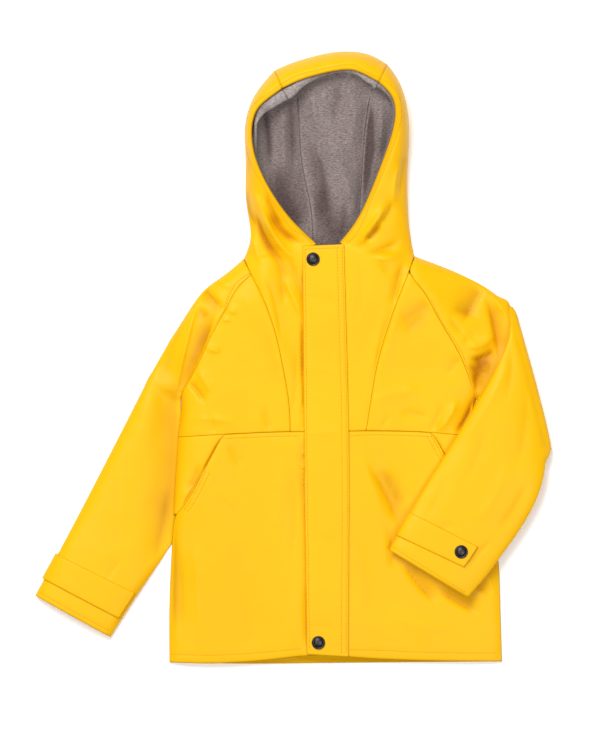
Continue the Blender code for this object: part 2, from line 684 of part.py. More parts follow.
def right_sleeve_rows():
    """The right sleeve's rows, each from its front's inner edge over its outer edge to
    its back's inner edge. Above the armpit the inner edges are the raglan seams, below
    it they meet and lie beneath the body. Returns the seamed rows and the tube's rows."""
    outer = spline([
        (-0.0568, 0.1102), (-0.077, 0.092), (-0.101, 0.078), (-0.116, 0.056), (-0.151, -0.001),
        (-0.194, -0.082), (-0.268, -0.224), RIGHT_CUFF[1],
    ])
    inner = spline([
        RIGHT_RAGLAN[-1], (-0.1305, -0.051), (-0.1265, -0.066), (-0.116, -0.098), (-0.109, -0.138),
        (-0.124, -0.185), (-0.158, -0.240), (-0.183, -0.277), RIGHT_CUFF[0],
    ])
    seamed = np.array(RAGLAN_ROWS)
    below = np.array([0.03, 0.09, 0.18, 0.28, 0.39, 0.50, 0.61, 0.72, 0.81, 0.87, 0.923, 1])
    front_edge = np.concatenate([spline(RIGHT_RAGLAN)(seamed), inner(below)])[:, None]
    back_edge = np.concatenate([spline(RIGHT_BACK_RAGLAN)(seamed), inner(below)])[:, None]
    front_edge[len(seamed) - 1] += ARMPIT_PLAY
    back_edge[len(seamed) - 1] += ARMPIT_PLAY
    outer_rows = np.concatenate([seamed * ARMPIT_ROW, ARMPIT_ROW + (1 - ARMPIT_ROW) * below])
    outer_edge = outer(outer_rows)[:, None]
    v, w = np.array(SLEEVE_FRONT)[None, :, None], np.array(SLEEVE_REAR)[None, :, None]
    front = front_edge + (outer_edge - front_edge) * v
    rear = back_edge + (outer_edge - back_edge) * w

    at = np.concatenate([seamed - 1, below])[:, None]
    v, width = v[..., 0], np.linalg.norm(outer_edge - front_edge, axis=-1)
    full = pillow(v * width / 0.032) * pillow((1 - v) * width / 0.032)
    dome = EDGE_HEIGHT + (SLEEVE_CROWN - 0.002 * np.maximum(at, 0) - EDGE_HEIGHT) * full
    at_seam = front_height(front)
    height = at_seam + (dome - at_seam) * ease((at + 0.30) / 0.50)
    outside = read(RIGHT_SIDE, "x", front[..., 1]) - front[..., 0]
    tucked = 1 - ease((outside - 0.0160) / 0.018)
    tucked = tucked * ease(at / 0.03) * ease((front[..., 1] + 0.250) / 0.025)
    height = height + (FLOOR_SHEET + ON_CLOTH - height) * tucked
    height[:, -1] = EDGE_HEIGHT - 0.0008
    lift = CUFF_LIFT * ease((at - 0.58) / 0.20)
    rear_height = FLOOR_SHEET + lift + tuck_lift(rear) * (1 - ease(at / 0.03))
    rows = np.concatenate([raised(front, height + lift * 0.85), raised(rear, rear_height)], axis=1)
    upper = inset(rows[:len(seamed)], "top left right")
    return upper, np.concatenate([upper[-1:], rows[len(seamed):]])


def front_seam_of(neck, raglan):
    """A sleeve's seam on the front: beside the hood, then along the chest panel."""
    return joined(spline([neck, raglan[0]]), spline(raglan), NECK_RUN)


def sleeve_plan(front_start, back_start, end, first, last, stations):
    """A sleeve's two layers seen from above, from a seam to a cuff or a fold."""
    front = patch(front_start, end, first, last, RING_TOP, stations)
    rear = patch(back_start, end, first, last, RING_BOTTOM[::-1], stations)[:, ::-1]
    return front, rear


def fullness(plan, share, soft):
    """How full each point of a sleeve's upper layer is, from its two edges."""
    width = np.linalg.norm(plan[:, TOPS - 1] - plan[:, 0], axis=-1)[:, None]
    return pillow(share * width / soft) * pillow((1 - share) * width / soft)


def under_edge(t):
    """The folded sleeve's underarm edge, from the fold to the cuff."""
    rows = table(
        "run x y",
        (0.00, 0.284, -0.105),
        (0.25, 0.279, -0.140),
        (0.50, 0.266, -0.173),
        (0.70, 0.249, -0.201),
        (0.846, 0.231, -0.225),
        (0.941, 0.215, -0.247),
        (1.00, 0.195, -0.270),
    )
    return np.stack([read(rows, "x", t), read(rows, "y", t)], axis=-1)


def left_sleeve_grid():
    """The left sleeve as rings: out from the raglan seam, over at the fold, back across
    the body. It is one tube, so the rings carry on round the fold."""
    neck = (0.1358, 0.1132)
    neck_edge = spline([neck, (0.193, 0.091), (0.229, 0.070), (0.242, 0.056)])
    arm_edge = spline([LEFT_RAGLAN[-1], (0.248, -0.076), (0.284, -0.105)])
    fold = spline([(0.242, 0.056), (0.250, 0.024), (0.262, -0.018), (0.278, -0.080), (0.284, -0.105)])
    stations = np.array([0, 0.14, 0.34, 0.58, 0.80, 1])
    front_seam, back_seam = front_seam_of(neck, LEFT_RAGLAN), spline([neck, *LEFT_BACK_RAGLAN[1:]])
    front, rear = sleeve_plan(front_seam, back_seam, fold, neck_edge, arm_edge, stations)
    share, s = np.array(RING_TOP)[None], stations[:, None]
    at_seam = front_height(front)
    dome = EDGE_HEIGHT + (0.0070 - EDGE_HEIGHT) * fullness(front, share, 0.030)
    height = at_seam + (dome - at_seam) * ease(s / 0.75)
    height[:, 0] = height[:, -1] = EDGE_HEIGHT - 0.0008
    lower = np.concatenate([raised(front, height), raised(rear, FLOOR_SHEET + 0 * rear[..., 0])], axis=1)

    # Beyond the fold the sleeve's back is on top.
    over_edge = spline([
        (0.242, 0.056), (0.245, 0.036), (0.241, 0.014), (0.231, -0.006), (0.210, -0.045),
        (0.184, -0.088), (0.144, -0.152), (0.107, -0.217),
    ])
    cuff = spline(LEFT_CUFF)
    run = np.array([0, 0.08, 0.18, 0.29, 0.40, 0.52, 0.64, 0.75, 0.846, 0.893, 0.941, 1])
    front, rear = sleeve_plan(fold, fold, cuff, over_edge, under_edge, run)
    places = [0, 0.12, 0.30, 0.60, 0.78, 0.846, 1.0]
    base = hermite(places, [0.0100, 0.0132, 0.0160, 0.0162, 0.0164, 0.0176, 0.0176], run)[:, None]
    thick = hermite(places, [0.0055, 0.0085, 0.0105, 0.0105, 0.0095, 0.0090, 0.0085], run)[:, None]
    share = np.array(RING_BOTTOM)[None]
    width = np.linalg.norm(front[:, -1] - front[:, 0], axis=-1)[:, None]
    full = pillow(share * width / 0.030) * pillow((1 - share) * width / 0.030)
    under_layer = raised(front, base + 0 * front[..., 0])
    under_layer[:, 0, 2] = under_layer[:, -1, 2] = base[:, 0] + 0.0016
    over_layer = raised(rear, base + 0.0016 + (thick - 0.0016) * full)
    upper = np.concatenate([under_layer, over_layer], axis=1)

    # Round the fold each ring point swings from its place below to its place above.
    out = np.array([0.965, 0.262, 0.0])
    middle = (lower[-1] + upper[0]) / 2
    radius = (upper[0] - lower[-1])[:, 2:] / 2
    turns = [
        middle + (out * math.cos(a) + UP * math.sin(a)) * radius
        for a in np.radians([-50, 0, 50])
    ]
    return inset(np.concatenate([lower, turns, upper]), "top bottom")


def cuff_strap(side, rings, columns, tab_end):
    """A tab round the cuff: from the underarm, over the sleeve's front and round its
    shoulder line to a square end on its back. It lies on three rings of the sleeve, at
    the given columns, and ends at the share tab_end of the way to the last of them."""
    after, before = np.roll(rings, -1, axis=1), np.roll(rings, 1, axis=1)
    outwards = unit(np.cross(after - before, np.gradient(rings, axis=0)))
    bend = (unit(after - rings) * unit(rings - before)).sum(axis=-1, keepdims=True)
    mitre = np.minimum(np.sqrt(2 / (1 + bend)), 2.2)
    strap = (rings + outwards * mitre * (ON_CLOTH + GAP))[:, columns]
    strap[:, -1] = strap[:, -2] * (1 - tab_end) + strap[:, -1] * tab_end
    cloth(f"{side}_cuff_strap", [strap], CLOTH, YELLOW)
    return strap


# ------------------------------------------------------------------------ snaps


def snap(name, seat, normal):
    """A snap's cap: a shallow dome with a rolled edge, turned about its own axis."""
    profile = [
        (0.0, 0.0), (0.86, 0.0), (1.0, 0.30), (0.97, 0.62),
        (0.84, 0.80), (0.74, 0.78), (0.45, 0.93), (0.0, 1.0),
    ]
    mesh = bmesh.new()
    line = [mesh.verts.new((r * SNAP_RADIUS, 0, h * SNAP_HEIGHT)) for r, h in profile]
    edges = [mesh.edges.new(pair) for pair in zip(line[:-1], line[1:])]
    bmesh.ops.spin(
        mesh, geom=line + edges, cent=(0, 0, 0), axis=(0, 0, 1), angle=math.tau, steps=16,
        use_merge=True,
    )
    bmesh.ops.remove_doubles(mesh, verts=mesh.verts, dist=0.00001)
    bmesh.ops.recalc_face_normals(mesh, faces=mesh.faces)
    turn = Vector((0, 0, 1)).rotation_difference(Vector(normal)).to_matrix().to_4x4()
    mesh.transform(Matrix.Translation(seat) @ turn)
    finished(name, mesh, GUNMETAL)


def flap_snap(name, x, y):
    """A snap on the storm flap, lying square to it."""
    step = SNAP_RADIUS
    around = flap_height(np.array([[x + step, y], [x - step, y], [x, y + step], [x, y - step], [x, y]]))
    normal = unit(np.array([around[1] - around[0], around[3] - around[2], 2 * step]))
    seat = np.array([x, y, max(around[4], around[:2].mean())]) + normal * (FLAP_CLOTH / 2 + 2 * GAP)
    snap(name, seat, normal)


def strap_snap(name, strap, up):
    """A snap near the square end of a cuff's strap, on its outer face."""
    end, before = strap[:, -1].mean(axis=0), strap[:, -3].mean(axis=0)
    middle = end + unit(before - end) * SNAP_INSET
    normal = unit(np.cross(strap[-1, -1] - strap[0, -1], before - end))
    normal = normal if (normal[2] > 0) == up else -normal
    stand = ((strap[:, -3:].reshape(-1, 3) - middle) @ normal).max()
    snap(name, middle + normal * (stand + CLOTH / 2 + GAP), normal)


# ------------------------------------------------------------------------ build

back_panel()
chest_panel("right", RIGHT_RAGLAN, RIGHT_FRONT_SEAM, RIGHT_WAIST, share_at(RIGHT_WAIST, 2), RIGHT_SIDE)
chest_panel("left", LEFT_RAGLAN, LEFT_FRONT_SEAM, LEFT_WAIST, share_at(LEFT_WAIST, 1), LEFT_SIDE)
lower_front(
    "right", RIGHT_WAIST, RIGHT_POCKET, RIGHT_SIDE, 0.0, 0.4585, share_at(RIGHT_WAIST, 1), 1.0, MOUTH_GAPE
)
lower_front("left", LEFT_WAIST, LEFT_POCKET, LEFT_SIDE, 1.0, 0.469, share_at(LEFT_WAIST, 2), 0.0, 0.0)
pocket_facing("right", RIGHT_WAIST, RIGHT_POCKET, RIGHT_SIDE, 1)
pocket_facing("left", LEFT_WAIST, LEFT_POCKET, LEFT_SIDE, 2)
storm_flap()

hood_and_front("right", RIGHT_OPENING, RIGHT_FRONT_SEAM)
hood_and_front("left", LEFT_OPENING, LEFT_FRONT_SEAM)
hood_centre()
lining_side("right")
lining_side("left")
lining_centre()

right_upper, right_tube = right_sleeve_rows()
left_tube = left_sleeve_grid()
cloth("right_sleeve", [right_upper], CLOTH, YELLOW, tubes=[right_tube])
cloth("left_sleeve", [], CLOTH, YELLOW, tubes=[left_tube])
right_strap = cuff_strap("right", right_tube[9:12], range(1, 14), 0.25)
left_columns = [*range(TOPS - 2, -1, -1), *range(left_tube.shape[1] - 1, TOPS + 2, -1)]
left_strap = cuff_strap("left", left_tube[17:20], left_columns, 0.79)

flap_snap("neck_snap", 0.0215, 0.110)
flap_snap("hem_snap", 0.0275, -0.321)
strap_snap("right_cuff_snap", right_strap, False)
strap_snap("left_cuff_snap", left_strap, True)

# The coat's middle stands over the origin, and its lowest point is at z = 0.
bpy.context.view_layer.update()
graph = bpy.context.evaluated_depsgraph_get()
corners = []
for piece in COAT.children:
    shape = piece.evaluated_get(graph)
    corners += [tuple(corner) for corner in shape.bound_box]
low, high = np.min(corners, axis=0), np.max(corners, axis=0)
COAT.location = (-(low[0] + high[0]) / 2, -(low[1] + high[1]) / 2, -low[2])
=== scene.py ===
import json
import math

import bpy
import numpy as np
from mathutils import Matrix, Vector
from mathutils.bvhtree import BVHTree
from mathutils.kdtree import KDTree

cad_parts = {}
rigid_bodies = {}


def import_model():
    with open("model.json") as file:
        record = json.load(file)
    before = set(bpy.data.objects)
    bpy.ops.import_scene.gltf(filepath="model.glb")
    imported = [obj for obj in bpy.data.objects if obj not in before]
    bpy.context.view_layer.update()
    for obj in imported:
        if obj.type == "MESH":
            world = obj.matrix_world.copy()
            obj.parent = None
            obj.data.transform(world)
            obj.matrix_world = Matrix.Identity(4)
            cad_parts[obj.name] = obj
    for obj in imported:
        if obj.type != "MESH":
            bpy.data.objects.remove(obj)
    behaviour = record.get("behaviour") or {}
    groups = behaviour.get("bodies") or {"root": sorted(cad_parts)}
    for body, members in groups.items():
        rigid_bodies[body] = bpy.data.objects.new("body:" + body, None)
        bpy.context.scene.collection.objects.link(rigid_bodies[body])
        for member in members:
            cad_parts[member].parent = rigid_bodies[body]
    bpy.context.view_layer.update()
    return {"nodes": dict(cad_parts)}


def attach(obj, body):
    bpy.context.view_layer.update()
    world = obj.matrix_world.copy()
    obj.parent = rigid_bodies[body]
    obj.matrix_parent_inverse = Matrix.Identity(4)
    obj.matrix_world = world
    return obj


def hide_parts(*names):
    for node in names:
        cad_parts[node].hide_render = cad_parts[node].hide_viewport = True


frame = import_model()

# -------------------------------------------------------------------- back panel
# The back is one panel from the neck to the hem. Like the rest of the shell it is woven
# polyester with a satin polyurethane coating, in a warm yellow, which follows the weave
# and has a few tiny crinkles. It lies on the surface, so it is flat.


def link(tree, start, end):
    tree.links.new(start, end)


def eased(tree, name, low, high):
    """A piece's own measure of that name, eased from 0 at low to 1 at high."""
    source = tree.nodes.new("ShaderNodeAttribute")
    source.attribute_name = name
    span = tree.nodes.new("ShaderNodeMapRange")
    span.interpolation_type = "SMOOTHSTEP"
    for socket, value in (("From Min", low), ("From Max", high)):
        if isinstance(value, bpy.types.NodeSocket):
            link(tree, value, span.inputs[socket])
        else:
            span.inputs[socket].default_value = value
    link(tree, source.outputs["Fac"], span.inputs["Value"])
    return span.outputs["Result"]


def times(tree, colour, mask, tone):
    """The colour, times the tone where the mask is 1."""
    blend = tree.nodes.new("ShaderNodeMix")
    blend.data_type = "RGBA"
    blend.blend_type = "MULTIPLY"
    if isinstance(tone, bpy.types.NodeSocket):
        link(tree, tone, blend.inputs["B"])
    else:
        blend.inputs["B"].default_value = tone
    link(tree, mask, blend.inputs["Factor"])
    link(tree, colour, blend.inputs["A"])
    return blend.outputs["Result"]


def painted_fold_and_seam_shade():
    """Painted shade: the colour is darkened at the bottom of a fold, more so in a deep one,
    and in the ditch of a seam, as far as the piece's seam_shade says."""
    group = bpy.data.node_groups.new("painted_fold_and_seam_shade", "ShaderNodeTree")
    for name, kind in (
        ("Colour", "NodeSocketColor"),
        ("Fold Start", "NodeSocketFloat"),
        ("Fold Full", "NodeSocketFloat"),
        ("Painted Fold Shade", "NodeSocketColor"),
        ("Painted Deep Fold Shade", "NodeSocketColor"),
        ("Seam Width", "NodeSocketFloat"),
        ("Painted Seam Shade", "NodeSocketColor"),
    ):
        group.interface.new_socket(name, in_out="INPUT", socket_type=kind)
    group.interface.new_socket("Colour", in_out="OUTPUT", socket_type="NodeSocketColor")
    given = group.nodes.new("NodeGroupInput").outputs
    # painted shade in folds, darker still in deep folds
    folds = eased(group, "painted_fold_shade", given["Fold Start"], given["Fold Full"])
    colour = times(group, given["Colour"], folds, given["Painted Fold Shade"])
    colour = times(group, colour, eased(group, "painted_fold_shade", 0.60, 1.50), given["Painted Deep Fold Shade"])
    # painted shade in the ditch of each seam
    strength = group.nodes.new("ShaderNodeAttribute")
    strength.attribute_name = "seam_shade"
    ditch = group.nodes.new("ShaderNodeMath")
    ditch.operation = "MULTIPLY"
    link(group, eased(group, "from_edge", given["Seam Width"], 0.0001), ditch.inputs[0])
    link(group, strength.outputs["Fac"], ditch.inputs[1])
    colour = times(group, colour, ditch.outputs["Value"], given["Painted Seam Shade"])
    link(group, colour, group.nodes.new("NodeGroupOutput").inputs["Colour"])
    return group


PAINTED_SHADE_GROUP = painted_fold_and_seam_shade()


def with_painted_shade(tree, colour, values):
    """The colour through the painted shade group, which takes this cloth's own values."""
    tones = tree.nodes.new("ShaderNodeGroup")
    tones.node_tree = PAINTED_SHADE_GROUP
    for name, value in values.items():
        tones.inputs[name].default_value = value
    link(tree, colour, tones.inputs["Colour"])
    return tones.outputs["Colour"]


def noise(tree, place, scale, detail, roughness=0.5):
    """Soft random values over the cloth."""
    texture = tree.nodes.new("ShaderNodeTexNoise")
    texture.inputs["Scale"].default_value = scale
    texture.inputs["Detail"].default_value = detail
    texture.inputs["Roughness"].default_value = roughness
    link(tree, place, texture.inputs["Vector"])
    return texture.outputs["Fac"]


def ramp(tree, value, dark_at, dark, light_at, light):
    """A colour between dark and light, by the value."""
    colours = tree.nodes.new("ShaderNodeValToRGB")
    for stop, at, colour in zip(colours.color_ramp.elements, (dark_at, light_at), (dark, light)):
        stop.position = at
        stop.color = colour
    link(tree, value, colours.inputs["Fac"])
    return colours.outputs["Color"]


def bump(tree, height, strength, distance):
    """Relief too fine for the mesh."""
    relief = tree.nodes.new("ShaderNodeBump")
    relief.inputs["Strength"].default_value = strength
    relief.inputs["Distance"].default_value = distance
    link(tree, height, relief.inputs["Height"])
    return relief


def yellow_coating():
    cloth = bpy.data.materials.new("coated_cloth")
    cloth.use_nodes = True
    tree = cloth.node_tree
    shader = tree.nodes["Principled BSDF"]
    shader.inputs["Roughness"].default_value = 0.44
    shader.inputs["Specular IOR Level"].default_value = 0.15
    place = tree.nodes.new("ShaderNodeTexCoord").outputs["Object"]
    uneven = noise(tree, place, 9.0, 3.0)
    dye = ramp(tree, uneven, 0.30, (0.915, 0.474, 0.0012, 1), 0.72, (0.930, 0.502, 0.0016, 1))
    # Painted shade: the yellow is darkened in folds, more in deep ones, and in seam ditches.
    colour = with_painted_shade(tree, dye, {
        "Fold Start": 0.05,
        "Fold Full": 0.85,
        "Painted Fold Shade": (0.80, 0.75, 0.80, 1),
        "Painted Deep Fold Shade": (0.66, 0.48, 0.50, 1),
        "Seam Width": 0.0008,
        "Painted Seam Shade": (0.40, 0.28, 0.30, 1),
    })
    link(tree, colour, shader.inputs["Base Color"])
    crinkle = bump(tree, noise(tree, place, 85.0, 4.0, 0.62), 0.28, 0.0011)
    weave = bump(tree, noise(tree, place, 900.0, 1.0), 0.10, 0.0002)
    link(tree, crinkle.outputs["Normal"], weave.inputs["Normal"])
    link(tree, weave.outputs["Normal"], shader.inputs["Normal"])
    return cloth


COATED = yellow_coating()


def pick(*objects):
    """Nothing else is selected, and the last of these is active."""
    bpy.ops.object.select_all(action="DESELECT")
    for one in objects:
        one.select_set(True)
        bpy.context.view_layer.objects.active = one


def apply_all(piece):
    pick(piece)
    for modifier in list(piece.modifiers):
        bpy.ops.object.modifier_apply(modifier=modifier.name)


def points_of(piece):
    points = np.empty(len(piece.data.vertices) * 3)
    piece.data.vertices.foreach_get("co", points)
    return points.reshape(-1, 3)


def move_points(piece, points):
    piece.data.vertices.foreach_set("co", points.ravel())
    piece.data.update()


# How far each cloth is moved out, which closes the gaps between the solids at the seams.
SEAM_CLOSING = {"coated_cloth": 0.00012, "jersey_lining": 0.00055}
WELD = 0.00005
WALL_FACE = 0.0024
CUT_EDGE_TURN = 1.25
PLAIN_SEAM_SHADE = 0.30
RIM_TURN = math.radians(50)
RIM_REACH = 0.004
EDGE_STEP = 0.002
SMOOTH_TURN = math.radians(48)


def tree_of(places):
    tree = KDTree(len(places))
    for number, place in enumerate(places):
        tree.insert(place, number)
    tree.balance()
    return tree


def cut_cloth(node, name, fineness, fabric, slot):
    """A piece of cloth cut to a part's own form: its facets joined, its cut edges kept
    crisp, and the rest made smooth and fine enough to take creases. A cut edge is where
    a wall, as thin as the cloth, meets its face at a sharp turn. Each point then holds
    its distance from the piece's nearest cut edge, and that edge's place."""
    pick(frame["nodes"][node])
    bpy.ops.object.duplicate()
    piece = bpy.context.view_layer.objects.active
    bpy.ops.object.parent_clear(type="CLEAR_KEEP_TRANSFORM")
    bpy.ops.object.transform_apply(location=True, rotation=True, scale=True)
    piece.name = name
    piece.data.name = name
    pick(piece)
    bpy.ops.object.mode_set(mode="EDIT")
    bpy.ops.mesh.select_all(action="SELECT")
    bpy.ops.mesh.remove_doubles(threshold=WELD)
    bpy.ops.mesh.tris_convert_to_quads(face_threshold=1.3, shape_threshold=1.5)
    bpy.ops.mesh.select_all(action="DESELECT")
    bpy.ops.object.mode_set(mode="OBJECT")
    mesh = piece.data
    faces_at = {}
    for face in mesh.polygons:
        longest = max(
            (mesh.vertices[a].co - mesh.vertices[b].co).length for a, b in face.edge_keys
        )
        for key in face.edge_keys:
            is_wall = face.area / longest < WALL_FACE
            faces_at.setdefault(key, []).append((is_wall, face.normal.copy()))
    edges = []
    for edge in mesh.edges:
        sides = faces_at[edge.key]
        turn = sides[0][1].angle(sides[1][1], 0) if len(sides) == 2 else math.pi
        edge.select = turn > CUT_EDGE_TURN and any(is_wall for is_wall, _ in sides)
        if edge.select:
            start, end = (mesh.vertices[v].co for v in edge.vertices)
            count = max(2, int((end - start).length / EDGE_STEP))
            edges += [start.lerp(end, k / count) for k in range(count + 1)]
    for vertex in mesh.vertices:
        vertex.select = False
    for face in mesh.polygons:
        face.select = False
    bpy.ops.object.mode_set(mode="EDIT")
    bpy.context.tool_settings.mesh_select_mode = (False, True, False)
    bpy.ops.transform.edge_crease(value=1.0)
    bpy.ops.object.mode_set(mode="OBJECT")
    bpy.ops.object.modifier_add(type="SUBSURF")
    smooth = piece.modifiers[-1]
    smooth.levels = smooth.render_levels = fineness
    apply_all(piece)
    normals = np.empty(len(piece.data.vertices) * 3)
    piece.data.vertices.foreach_get("normal", normals)
    move_points(piece, points_of(piece) + normals.reshape(-1, 3) * SEAM_CLOSING[slot])
    bpy.ops.object.shade_smooth_by_angle(angle=SMOOTH_TURN)
    piece.data.materials.clear()
    piece.data.materials.append(fabric)
    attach(piece, "root")
    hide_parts(node)
    near_cut = tree_of(edges)
    bpy.ops.object.mode_set(mode="EDIT")
    bpy.ops.mesh.select_all(action="DESELECT")
    bpy.ops.mesh.edges_select_sharp(sharpness=RIM_TURN)
    bpy.ops.object.mode_set(mode="OBJECT")
    rims = []
    for edge in piece.data.edges:
        if edge.select:
            start, end = (piece.data.vertices[v].co for v in edge.vertices)
            if near_cut.find(start)[2] < RIM_REACH:
                rims += [start, start.lerp(end, 1 / 3), start.lerp(end, 2 / 3), end]
    rim_tree = tree_of(rims)
    found = [rim_tree.find(point) for point in points_of(piece)]
    write(piece, "from_edge", "FLOAT", [distance for _, _, distance in found])
    write(piece, "edge_place", "FLOAT_VECTOR", [spot for spot, _, _ in found])
    write(piece, "painted_fold_shade", "FLOAT", np.zeros(len(found)))
    write(piece, "seam_shade", "FLOAT", np.full(len(found), PLAIN_SEAM_SHADE))
    return piece


def write(piece, name, kind, values):
    """Keeps one value for each point of the piece."""
    store = piece.data.attributes.get(name) or piece.data.attributes.new(name, kind, "POINT")
    field = "value" if kind == "FLOAT" else "vector"
    store.data.foreach_set(field, np.array(values, "f").ravel())


back = cut_cloth("back_panel", "back", 2, COATED, "coated_cloth")

# ---------------------------------------------------------- hood sides and fronts
# Each side of the hood is cut in one with the strip of the front beside the opening.
# The neck folds over on itself there, so the cloth is pulled into long slanting folds.


def read(piece, name):
    store = piece.data.attributes[name]
    if store.data_type == "FLOAT":
        values = np.empty(len(store.data), "f")
        store.data.foreach_get("value", values)
        return values.astype(float)
    values = np.empty(len(store.data) * 3, "f")
    store.data.foreach_get("vector", values)
    return values.reshape(-1, 3).astype(float)


def unevenness(places, size, seed):
    """Soft random heights, -1 to 1, over places seen from above, about size apart."""
    lattice = np.random.RandomState(seed).uniform(-1, 1, (256, 256))
    cell = places / size + 101.3
    low = np.floor(cell).astype(int)
    part = cell - low
    part = part * part * (3 - 2 * part)
    x, y = low[:, 0] % 255, low[:, 1] % 255
    bottom = lattice[x, y] * (1 - part[:, 0]) + lattice[x + 1, y] * part[:, 0]
    top = lattice[x, y + 1] * (1 - part[:, 0]) + lattice[x + 1, y + 1] * part[:, 0]
    return bottom * (1 - part[:, 1]) + top * part[:, 1]


SEAM_REACH = 0.0035
PUCKER_START = 0.002
PUCKER_GAIN = 1.6


def pinch_edges(piece, sink, pucker, reach, spacing, seed, shade=PLAIN_SEAM_SHADE):
    """Draws a piece down at its sewn edges, and gathers it there into short uneven
    puckers that run in from the seam. The shade is how dark its ditch looks."""
    points = points_of(piece)
    nearest, away = read(piece, "edge_place")[:, :2], read(piece, "from_edge")
    drawn = -sink * np.exp(-((away / SEAM_REACH) ** 2))
    gather = unevenness(nearest, spacing, seed)
    gather *= np.abs(unevenness(nearest, spacing * 5, seed + 1))
    fall = np.exp(-away / reach) * (1 - np.exp(-away / PUCKER_START))
    drawn += PUCKER_GAIN * pucker * gather * fall
    points[:, 2] = np.maximum(points[:, 2] + drawn, 0.0)
    move_points(piece, points)
    write(piece, "seam_shade", "FLOAT", np.full(len(points), shade))


EASE_IN = 0.003
EASE_OUT = 0.002


def eased_share(share):
    """0 to 1, with a soft start and end."""
    share = np.clip(share, 0, 1)
    return share * share * (3 - 2 * share)


def share_between(points, low, high):
    """1 for points whose height is between low and high, easing to 0 outside."""
    rise = eased_share((points[:, 2] - low) / EASE_IN)
    return rise * eased_share((high - points[:, 2]) / EASE_OUT)


def held_by_seams(piece):
    """A seam holds the cloth: 0 at a cut edge, rising to 1 away from it."""
    return 1 - 0.92 * np.exp(-((read(piece, "from_edge") / SEAM_REACH) ** 2))


DEEP_FOLD = 0.0055
DARKEST = 1.6
CREASE_RUN_OUT = 0.14
CREASE_FADE = 0.45
CREASE_SHARPNESS = 1.2


def crease(piece, rows, low=-1.0, high=1.0, press=1.0):
    """Presses creases into a piece. Each row is a line from (x0, y0) to (x1, y1), bowed
    to its left by bow, with a width on its left and on its right, and a height: a ridge
    above 0, a trough below. Only what lies between low and high moves. Each trough is also
    marked for painted shade; a lower press moves the cloth less but keeps all that shade."""
    points = points_of(piece)
    flat = points[:, :2]
    moved = np.zeros(len(points))
    for x0, y0, x1, y1, bow, left, right, height in rows:
        start, run = np.array([x0, y0]), np.array([x1 - x0, y1 - y0])
        length = np.linalg.norm(run)
        along = (flat - start) @ run / length**2
        aside = (flat - start) @ np.array([-run[1], run[0]]) / length
        aside = aside - bow * 4 * along * (1 - along)
        to_end = np.minimum(along, 1 - along) + CREASE_RUN_OUT
        across = np.abs(aside / np.where(aside > 0, left, right))
        fade = eased_share(to_end / CREASE_FADE)
        moved += height * fade * np.exp(-across**CREASE_SHARPNESS)
    moved *= share_between(points, low, high) * held_by_seams(piece)
    points[:, 2] += moved * press
    move_points(piece, points)
    # painted shade: marked from the trough's full depth, before the press
    painted_fold_shade = read(piece, "painted_fold_shade") + np.clip(-moved / DEEP_FOLD, 0, DARKEST)
    write(piece, "painted_fold_shade", "FLOAT", painted_fold_shade)


def wave(piece, rows, low=-1.0, high=1.0):
    """Unevenness all over a piece. Each row is its size, height and seed. Part of it is
    a soft swell, and part is fine crease lines, as coated cloth has."""
    points = points_of(piece)
    moved = np.zeros(len(points))
    for size, height, seed in rows:
        swell = unevenness(points[:, :2], size, seed)
        lines = 0.5 - 1.6 * np.abs(unevenness(points[:, :2], size * 0.9, seed + 500))
        moved += height * (0.5 * swell + 0.7 * lines)
    points[:, 2] += moved * share_between(points, low, high) * held_by_seams(piece)
    move_points(piece, points)


hood_right = cut_cloth(
    "right_hood_and_front", "hood_and_front_right", 3, COATED, "coated_cloth"
)
wave(hood_right, [(0.040, 0.00039, 11), (0.019, 0.00022, 12)], low=0.003)
crease(hood_right, [
    # x0, y0, x1, y1, bow, left, right, height
    (-0.041, 0.162, -0.016, 0.110, -0.004, 0.0040, 0.0045, -0.0087),
    (-0.026, 0.162, 0.006, 0.128, -0.004, 0.0035, 0.0035, -0.0075),
    (-0.036, 0.162, -0.001, 0.112, -0.003, 0.0040, 0.0040, 0.0067),
    (-0.049, 0.139, -0.036, 0.107, -0.001, 0.0040, 0.0030, 0.0035),
    (-0.045, 0.188, -0.020, 0.139, -0.002, 0.0040, 0.0050, 0.0049),
    (-0.052, 0.190, -0.043, 0.148, -0.002, 0.0040, 0.0040, -0.0052),
    (-0.031, 0.183, -0.013, 0.147, -0.002, 0.0035, 0.0035, -0.0049),
    (-0.020, 0.122, -0.011, 0.062, 0.003, 0.0070, 0.0050, -0.0038),
    (-0.014, 0.092, 0.009, 0.044, 0.002, 0.0045, 0.0030, 0.0029),
    (-0.005, 0.110, 0.010, 0.062, 0.002, 0.0040, 0.0040, -0.0029),
    (-0.030, 0.090, -0.014, 0.020, 0.003, 0.0060, 0.0040, -0.0020),
    (0.004, 0.020, -0.002, -0.070, 0.002, 0.0060, 0.0050, -0.0017),
    (0.0100, 0.108, 0.0108, 0.040, 0.0004, 0.0040, 0.0015, -0.0036),
    (0.0106, 0.046, 0.0114, -0.034, -0.0004, 0.0040, 0.0018, -0.0052),
    (0.0112, -0.026, 0.0116, -0.086, 0.0002, 0.0040, 0.0014, -0.0034),
    (-0.052, 0.240, -0.050, 0.200, 0.001, 0.0050, 0.0050, -0.0023),
], low=0.004)
pinch_edges(
    hood_right, sink=0.0005, pucker=0.0006, reach=0.009, spacing=0.006, seed=21, shade=0.20,
)

